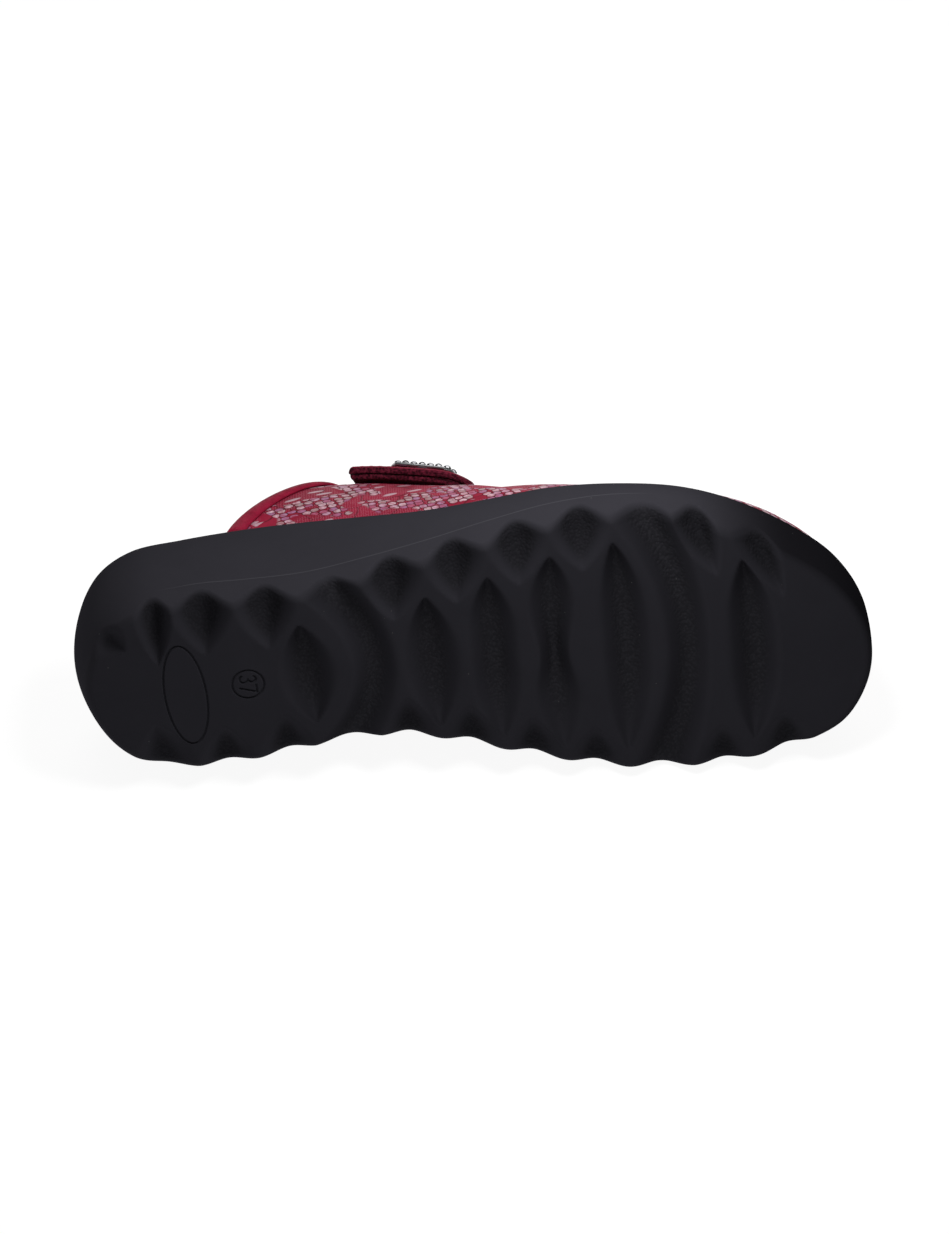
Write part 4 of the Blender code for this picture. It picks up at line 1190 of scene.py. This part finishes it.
def binding_profile():
    """Section of the folded strip, as pairs of a share along the shoe and an offset from the upper."""
    skin_in = -UPPER_THICKNESS - FIT_GAP
    inside = skin_in - BINDING_THICKNESS
    outside = FIT_GAP + BINDING_THICKNESS
    reach, over, clear = (size / HALF_LENGTH for size in (BINDING_WIDTH, outside, FIT_GAP))
    leg = np.linspace(0.0, 1.0, BINDING_LEG_STEPS)
    puff = np.sin(math.pi * leg)
    skived = outside - BINDING_SKIVE * (1 - leg) ** 8
    outer = np.column_stack([reach * (1 - leg), skived + BINDING_PUFF * puff])
    turn = np.linspace(0.0, math.pi, BINDING_FOLD_STEPS)[1:-1]
    middle_level, half = (outside + inside) / 2, (outside - inside) / 2
    fold = np.column_stack([-over * np.sin(turn), middle_level + half * np.cos(turn)])
    inner = np.column_stack([reach * leg, inside - BINDING_INNER_PUFF * puff])
    slot = ((reach, skin_in), (-clear, skin_in), (-clear, FIT_GAP), (reach, FIT_GAP))
    return np.vstack([outer, fold, inner, slot])


def make_binding():
    """A strip folded over the collar's edge from rim to rim."""
    along, offset = binding_profile().T
    arounds = BINDING_ENDS * np.linspace(-1.0, 1.0, 2 * COLLAR_STEPS + 1)[:, None]
    shares, arounds, offsets = np.broadcast_arrays(collar_share(arounds) + along, arounds, offset)
    points = upper_points(shares, arounds, offsets)
    red = plain_leather_paint("binding_leather", BINDING_TONES, 0.58)
    made = piece("collar_roll", points, tube_faces(*shares.shape), [red])
    return dress(made, "binding_leather", "collar_binding")


# Strap

# The strap's paints, and the shares of its thickness above which they are its printed face and its edge
PRINT, EDGE, BACK = range(3)
FACE_LEVEL = 0.99
EDGE_LEVEL = 0.93


def strap_lift(around):
    """Height of the strap's underside over the upper, which grows towards the free end."""
    free = 1.0 - smoothstep(STRAP_FREE_END, STRAP_FREE_END + STRAP_LIFT_LENGTH, around)
    over_pad = 1.0 - smoothstep(*HOOK_PAD_STEP, around - HOOK_PAD_TO)
    return FIT_GAP + over_pad * (HOOK_PAD_THICKNESS + FIT_GAP) + STRAP_END_LIFT * free**2


def free_end(place):
    """The strap's end line across its width: its front corner is rounded off most."""
    front = (np.maximum(0.0, place - STRAP_END_STRAIGHT) / (1.0 - STRAP_END_STRAIGHT)) ** 2
    return STRAP_FREE_END + STRAP_END_ROUND * front + STRAP_REAR_ROUND * (1.0 - place) ** 6


def strap_points(around, place, offset, inset=0.0):
    """Points on the strap's line: around the foot, across the strap from rear to front, off the upper."""
    rear = STRAP_REAR + inset + STRAP_CROWN * np.cos(around * math.pi / 2) ** 2
    share = share_at(LATERAL, rear + (STRAP_FRONT - inset - rear) * place)
    return upper_points(share, around, offset)


def strip_profile(thickness, width, top_round):
    """(place, level) pairs round the section of a strip, top first, with its top or base rounded off."""
    edge = STRAP_ROUND * thickness / width
    run = np.linspace(edge, 1.0 - edge, STRAP_COLUMNS)
    top = np.column_stack([run, np.ones_like(run)])
    out, fall = np.cos(STRAP_EDGE_TURNS), 1.0 - np.sin(STRAP_EDGE_TURNS)
    front = np.vstack([np.column_stack([1.0 - edge + edge * out, 1.0 - STRAP_ROUND * fall]), (1.0, 0.0)])
    profile = np.vstack([top, front, top[::-1] * (1, 0), (front * (-1, 1) + (1, 0))[::-1]])
    return profile if top_round else profile[::-1] * (1, -1) + (0, 1)


def strip(around_of, steps, low, thickness, inset, top_round):
    """A strip on the strap's line as a stack of rings, with its free end rounded like its long edges."""
    profile = strip_profile(thickness, STRAP_FRONT - STRAP_REAR - 2 * inset, top_round)
    place, level = profile[:, 0], profile[:, 1]
    radius = STRAP_ROUND * thickness / AROUND_TO_MM
    rings = []
    for turn in STRAP_END_TURNS:
        around = around_of(place, 0.0) + radius * (1.0 - math.cos(turn))
        height = 1.0 - STRAP_ROUND * (1.0 - math.sin(turn))
        squeezed = level * height if top_round else 1.0 - (1.0 - level) * height
        rings.append(strap_points(around, place, low(around) + thickness * squeezed, inset))
    for step in np.linspace(0.0, 1.0, steps + 1):
        around = around_of(place, step) + radius * (1.0 - step)
        rings.append(strap_points(around, place, low(around) + thickness * level, inset))
    return np.array(rings), place, level


def make_strap(printed, hook):
    """A band over the instep, sewn down on the medial side, whose lateral end stands free."""
    def around_of(place, step):
        return free_end(place) + (STRAP_SEWN_END - free_end(place)) * step

    rings, place, level = strip(around_of, STRAP_STEPS, strap_lift, STRAP_THICKNESS, 0.0, True)
    rows, columns = rings.shape[:2]
    margin = STRAP_MARGIN / (STRAP_FRONT - STRAP_REAR)
    inside = (level > FACE_LEVEL) & (place > margin) & (place < 1.0 - margin)
    column_paint = np.where(inside, PRINT, np.where(level > EDGE_LEVEL, EDGE, BACK))
    paint_of = np.tile(column_paint, (rows - 1, 1))
    end_length = np.linalg.norm(np.diff(rings, axis=0), axis=2).cumsum(axis=0)
    paint_of[(end_length < STRAP_MARGIN) & (paint_of == PRINT)] = EDGE
    paint_of[: len(STRAP_END_TURNS) // 2] = BACK
    paint_of = np.concatenate([paint_of.ravel(), [BACK, BACK]])
    edge = plain_leather_paint("strap_edge_leather", STRAP_EDGE_TONES, 0.62)
    over = np.concatenate([np.zeros((1, columns)), end_length])
    print_at = {"print_x": rings[..., 0] + STRAP_PRINT_SHIFT, "print_y": over}
    made = piece("instep_strap", rings, tube_faces(rows, columns), [printed, edge, hook], paint_of, print_at)
    return dress(made, "strap_leather", "strap")


def make_hook_pad(hook):
    """Hook tape under the strap's free end."""
    def around_of(place, step):
        start = HOOK_PAD_FROM + free_end(place) - STRAP_FREE_END
        return start + (HOOK_PAD_TO - start) * step

    def low(around):
        return strap_lift(around) - FIT_GAP - HOOK_PAD_THICKNESS

    rings, _, _ = strip(around_of, HOOK_PAD_STEPS, low, HOOK_PAD_THICKNESS, HOOK_PAD_INSET, False)
    made = piece("hook_pad", rings, tube_faces(*rings.shape[:2]), [hook])
    return dress(made, "hook_tape", "strap_hook_pad")


# Stitches

STITCH_LENGTH = 2.3
STITCH_PITCH = 3.2
STITCH_RADIUS = 0.28
STITCH_BLUNT = 1.02
STITCH_SKEW = (0.31, 0.42, 0.85)
STRAP_STITCH_INSET = 2.6
STITCHES_FROM_FREE_END = 0.04
STITCHES_FROM_SEWN_END = 0.03


def stitch_rings(track):
    """Thread stitches along a track of points: each is a short bent capsule, as a stack of rings."""
    length = run_length(track)
    sides = np.radians(np.arange(STITCH_SIDES) * 360.0 / STITCH_SIDES)
    bends = np.linspace(-1.0, 1.0, STITCH_RINGS)
    thick = STITCH_RADIUS * np.sqrt(STITCH_BLUNT - bends**2)
    for middle_at in np.arange(STITCH_PITCH / 2, length[-1] - STITCH_PITCH / 2, STITCH_PITCH):
        at = middle_at + bends * STITCH_LENGTH / 2
        line = np.column_stack([np.interp(at, length, track[:, axis]) for axis in range(3)])
        ahead = line[-1] - line[0]
        ahead /= np.linalg.norm(ahead)
        side = np.cross(ahead, STITCH_SKEW)
        side /= np.linalg.norm(side)
        around = np.outer(np.cos(sides), side) + np.outer(np.sin(sides), np.cross(side, ahead))
        yield line[:, None, :] + thick[:, None, None] * around


def make_stitches():
    """Rows of stitches along the strap's edges and its two ends."""
    inset = STRAP_STITCH_INSET / (STRAP_FRONT - STRAP_REAR)
    last = STRAP_SEWN_END - STITCHES_FROM_SEWN_END
    lines = []
    for place in (inset, 1.0 - inset):
        first = float(free_end(np.array(place))) + STITCHES_FROM_FREE_END
        lines.append((np.linspace(first, last, LONG_STITCH_STEPS), np.full(LONG_STITCH_STEPS, place)))
    across = np.linspace(inset, 1.0 - inset, END_STITCH_STEPS)
    lines.append((np.full(END_STITCH_STEPS, last), across))
    lines.append((free_end(across) + STITCHES_FROM_FREE_END, across))
    stitches = []
    for around, place in lines:
        stitches += stitch_rings(strap_points(around, place, strap_lift(around) + STRAP_THICKNESS))
    capsule = tube_faces(STITCH_RINGS, STITCH_SIDES)
    size = STITCH_RINGS * STITCH_SIDES
    faces = [face + number * size for number in range(len(stitches)) for face in capsule]
    made = piece("strap_stitches", stitches, faces, [thread_paint()])
    return dress(made, "strap_leather")


# Ornament


def ornament_frame():
    """Place and axes of the ornament on the strap: along the shoe, up the strap and outward."""
    share = float(share_at(LATERAL, ORNAMENT_X))
    seat = float(strap_lift(ORNAMENT_AROUND)) + STRAP_THICKNESS + ORNAMENT_CLEARANCE
    centre = upper_points(share, ORNAMENT_AROUND, seat)
    ahead = upper_points(share + 0.01, ORNAMENT_AROUND, seat) - centre
    ahead /= np.linalg.norm(ahead)
    out = centre - upper_points(share, ORNAMENT_AROUND, seat - 0.5)
    out -= ahead * (out @ ahead)
    out /= np.linalg.norm(out)
    return centre, ahead, np.cross(out, ahead), out


def ornament_outline(inset, steps):
    """Plan points of the ornament's outline moved inward: a rectangle with round corners."""
    corner = max(ORNAMENT_CORNER - inset, LEAST_CORNER)
    half_length, half_depth = (size / 2 - inset - corner for size in (ORNAMENT_LENGTH, ORNAMENT_DEPTH))
    points = []
    for quarter, (sx, sy) in enumerate(((1, 1), (-1, 1), (-1, -1), (1, -1))):
        angles = (quarter + np.arange(steps + 1) / steps) * math.pi / 2
        centre = (sx * half_length, sy * half_depth)
        points.append(centre + corner * np.column_stack([np.cos(angles), np.sin(angles)]))
    return np.vstack(points)


def placed(seat_frame, points, height):
    """Plan points on the ornament's seat, raised off it."""
    centre, ahead, up, out = seat_frame
    return np.array([centre + ahead * px + up * py + out * height for px, py in points])


def make_plate(seat_frame):
    """A plate with a soft rim and a shallow domed field inside the border of stones."""
    outlines = [(ornament_outline(inset, PLATE_CORNER_STEPS), height) for inset, height in PLATE_PROFILE]
    rings = np.array([placed(seat_frame, outline, height) for outline, height in outlines])
    silver = silver_paint("plate_silver", PLATE_TONES)
    made = piece("ornament_base", rings, tube_faces(*rings.shape[:2]), [silver])
    made.data.set_sharp_from_angle(angle=PLATE_SHARP)
    return dress(made, "silver_plate", "ornament_plate")


def make_stones(seat_frame):
    """Brilliant-cut stones round the plate, dark and clear by turns, each in a thin collet, with every fourth
    facet in the other stone's paint as a painted reflection.
    """
    clear = stone_paint("clear_stone", CLEAR_STONE_TONES, 0.35)
    dark = stone_paint("dark_stone", DARK_STONE_TONES, 0.06)
    collet = silver_paint("collet_silver", COLLET_TONES)
    track = ornament_outline(STONE_INSET, STONE_TRACK_STEPS)
    closed = np.vstack([track, track[:1]])
    run = run_length(closed)
    for number in range(STONE_COUNT):
        at = run[-1] * number / STONE_COUNT
        seat = np.array([np.interp(at, run, closed[:, axis]) for axis in (0, 1)])
        # Painted reflections: every fourth facet takes the other stone's paint, a clear glint on a dark stone
        # and a dark facet on a clear one
        usual, painted_reflection = ((DARK, CLEAR), (CLEAR, DARK))[number % 2]
        facets = np.tile((usual, usual, usual, painted_reflection), FACETS // 4)
        rings, paint_of = [], []
        for k, level in enumerate(STONE_RINGS):
            angles = (np.arange(FACETS) + level.turned / 2) * 2 * math.pi / FACETS
            outline = seat + level.reach * STONE_RADIUS * np.column_stack([np.cos(angles), np.sin(angles)])
            rings.append(placed(seat_frame, outline, ORNAMENT_THICKNESS + level.rise))
            paint_of.append(np.full(FACETS, COLLET) if level.in_collet else np.roll(facets, k))
        paint_of = np.concatenate([*paint_of[:-1], [COLLET, usual]])
        faces = tube_faces(len(rings), FACETS)
        made = piece(f"stone_{number + 1:02d}", rings, faces, [clear, collet, dark], paint_of, smooth=False)
        dress(made, "cut_glass", f"ornament_stone_{number + 1:02d}")


# Stage, light and camera


def make_floor():
    """White paper that glows round the shoe and fades out far from it."""
    data = bpy.data.meshes.new("floor")
    corners = [(sx * FLOOR_HALF, sy * FLOOR_HALF, 0.0) for sx, sy in ((-1, -1), (1, -1), (1, 1), (-1, 1))]
    data.from_pydata(corners, [], [(0, 1, 2, 3)])
    paint = Paint("floor_paper", Specular_IOR_Level=0.1, Roughness=0.9)
    away = paint.node("VectorMath", {"operation": "LENGTH"}, Vector=paint.place).outputs["Value"]
    near = paint.ramp(away, *FLOOR_FADES)
    paint.set("Base Color", paint.mix(near, FAR_PAPER, paint.mix(paint.noise(6.0, 3.0), *PAPER_TONES)))
    paint.set("Emission Color", WHITE)
    paint.set("Emission Strength", paint.times(near, FLOOR_GLOW))
    data.materials.append(paint.material)
    floor = bpy.data.objects.new("floor", data)
    bpy.context.scene.collection.objects.link(floor)


def make_studio():
    """A soft key light close over the ball of the foot, a weak one behind and an even, dim surround."""
    for light in LIGHTS:
        lamp = bpy.data.lights.new(light.name, "AREA")
        lamp.shape = "DISK"
        lamp.size = light.size
        lamp.energy = light.power
        made = bpy.data.objects.new(light.name, lamp)
        made.location = light.place
        made.rotation_euler = (Vector(light.aim) - Vector(light.place)).to_track_quat("-Z", "Y").to_euler()
        bpy.context.scene.collection.objects.link(made)
    world = bpy.data.worlds.new("studio")
    world.use_nodes = True
    background = world.node_tree.nodes["Background"]
    background.inputs["Color"].default_value = (*WHITE, 1.0)
    background.inputs["Strength"].default_value = SURROUND
    bpy.context.scene.world = world
    bpy.context.scene.view_settings.view_transform = "Standard"


def make_camera():
    """The photograph's view of the tread and the lateral wall, with its tilt, roll, scale and framing."""
    ahead = Vector((1.0, 0.0, 0.0))
    lift = Vector((0.0, -math.cos(VIEW_TILT), math.sin(VIEW_TILT)))
    right = ahead * math.cos(VIEW_ROLL) - lift * math.sin(VIEW_ROLL)
    up = ahead * math.sin(VIEW_ROLL) + lift * math.cos(VIEW_ROLL)
    back = right.cross(up)
    off_right = (PHOTO_WIDTH / 2 - AIM_PIXEL[0]) / PIXELS_PER_MM
    off_up = (AIM_PIXEL[1] - PHOTO_HEIGHT / 2) / PIXELS_PER_MM
    place = Vector(AIM_POINT) + right * off_right + up * off_up + back * CAMERA_DISTANCE
    camera = bpy.data.cameras.new("camera")
    camera.sensor_fit = "VERTICAL"
    camera.sensor_height = SENSOR
    camera.lens = SENSOR * PIXELS_PER_MM * CAMERA_DISTANCE / PHOTO_HEIGHT
    camera.clip_end = CLIP_METRES
    made = bpy.data.objects.new("camera", camera)
    local = Matrix((right, up, back)).transposed().to_4x4()
    made.matrix_world = SHOE @ Matrix.Translation(place * MM) @ local
    bpy.context.scene.collection.objects.link(made)
    bpy.context.scene.camera = made


def main():
    make_camera()
    make_studio()
    make_floor()
    make_sole()
    make_insole()
    upper = make_upper()
    make_binding()
    hook = hook_paint()
    make_strap(upper.data.materials[0], hook)
    make_hook_pad(hook)
    make_stitches()
    seat_frame = ornament_frame()
    make_plate(seat_frame)
    make_stones(seat_frame)


main()
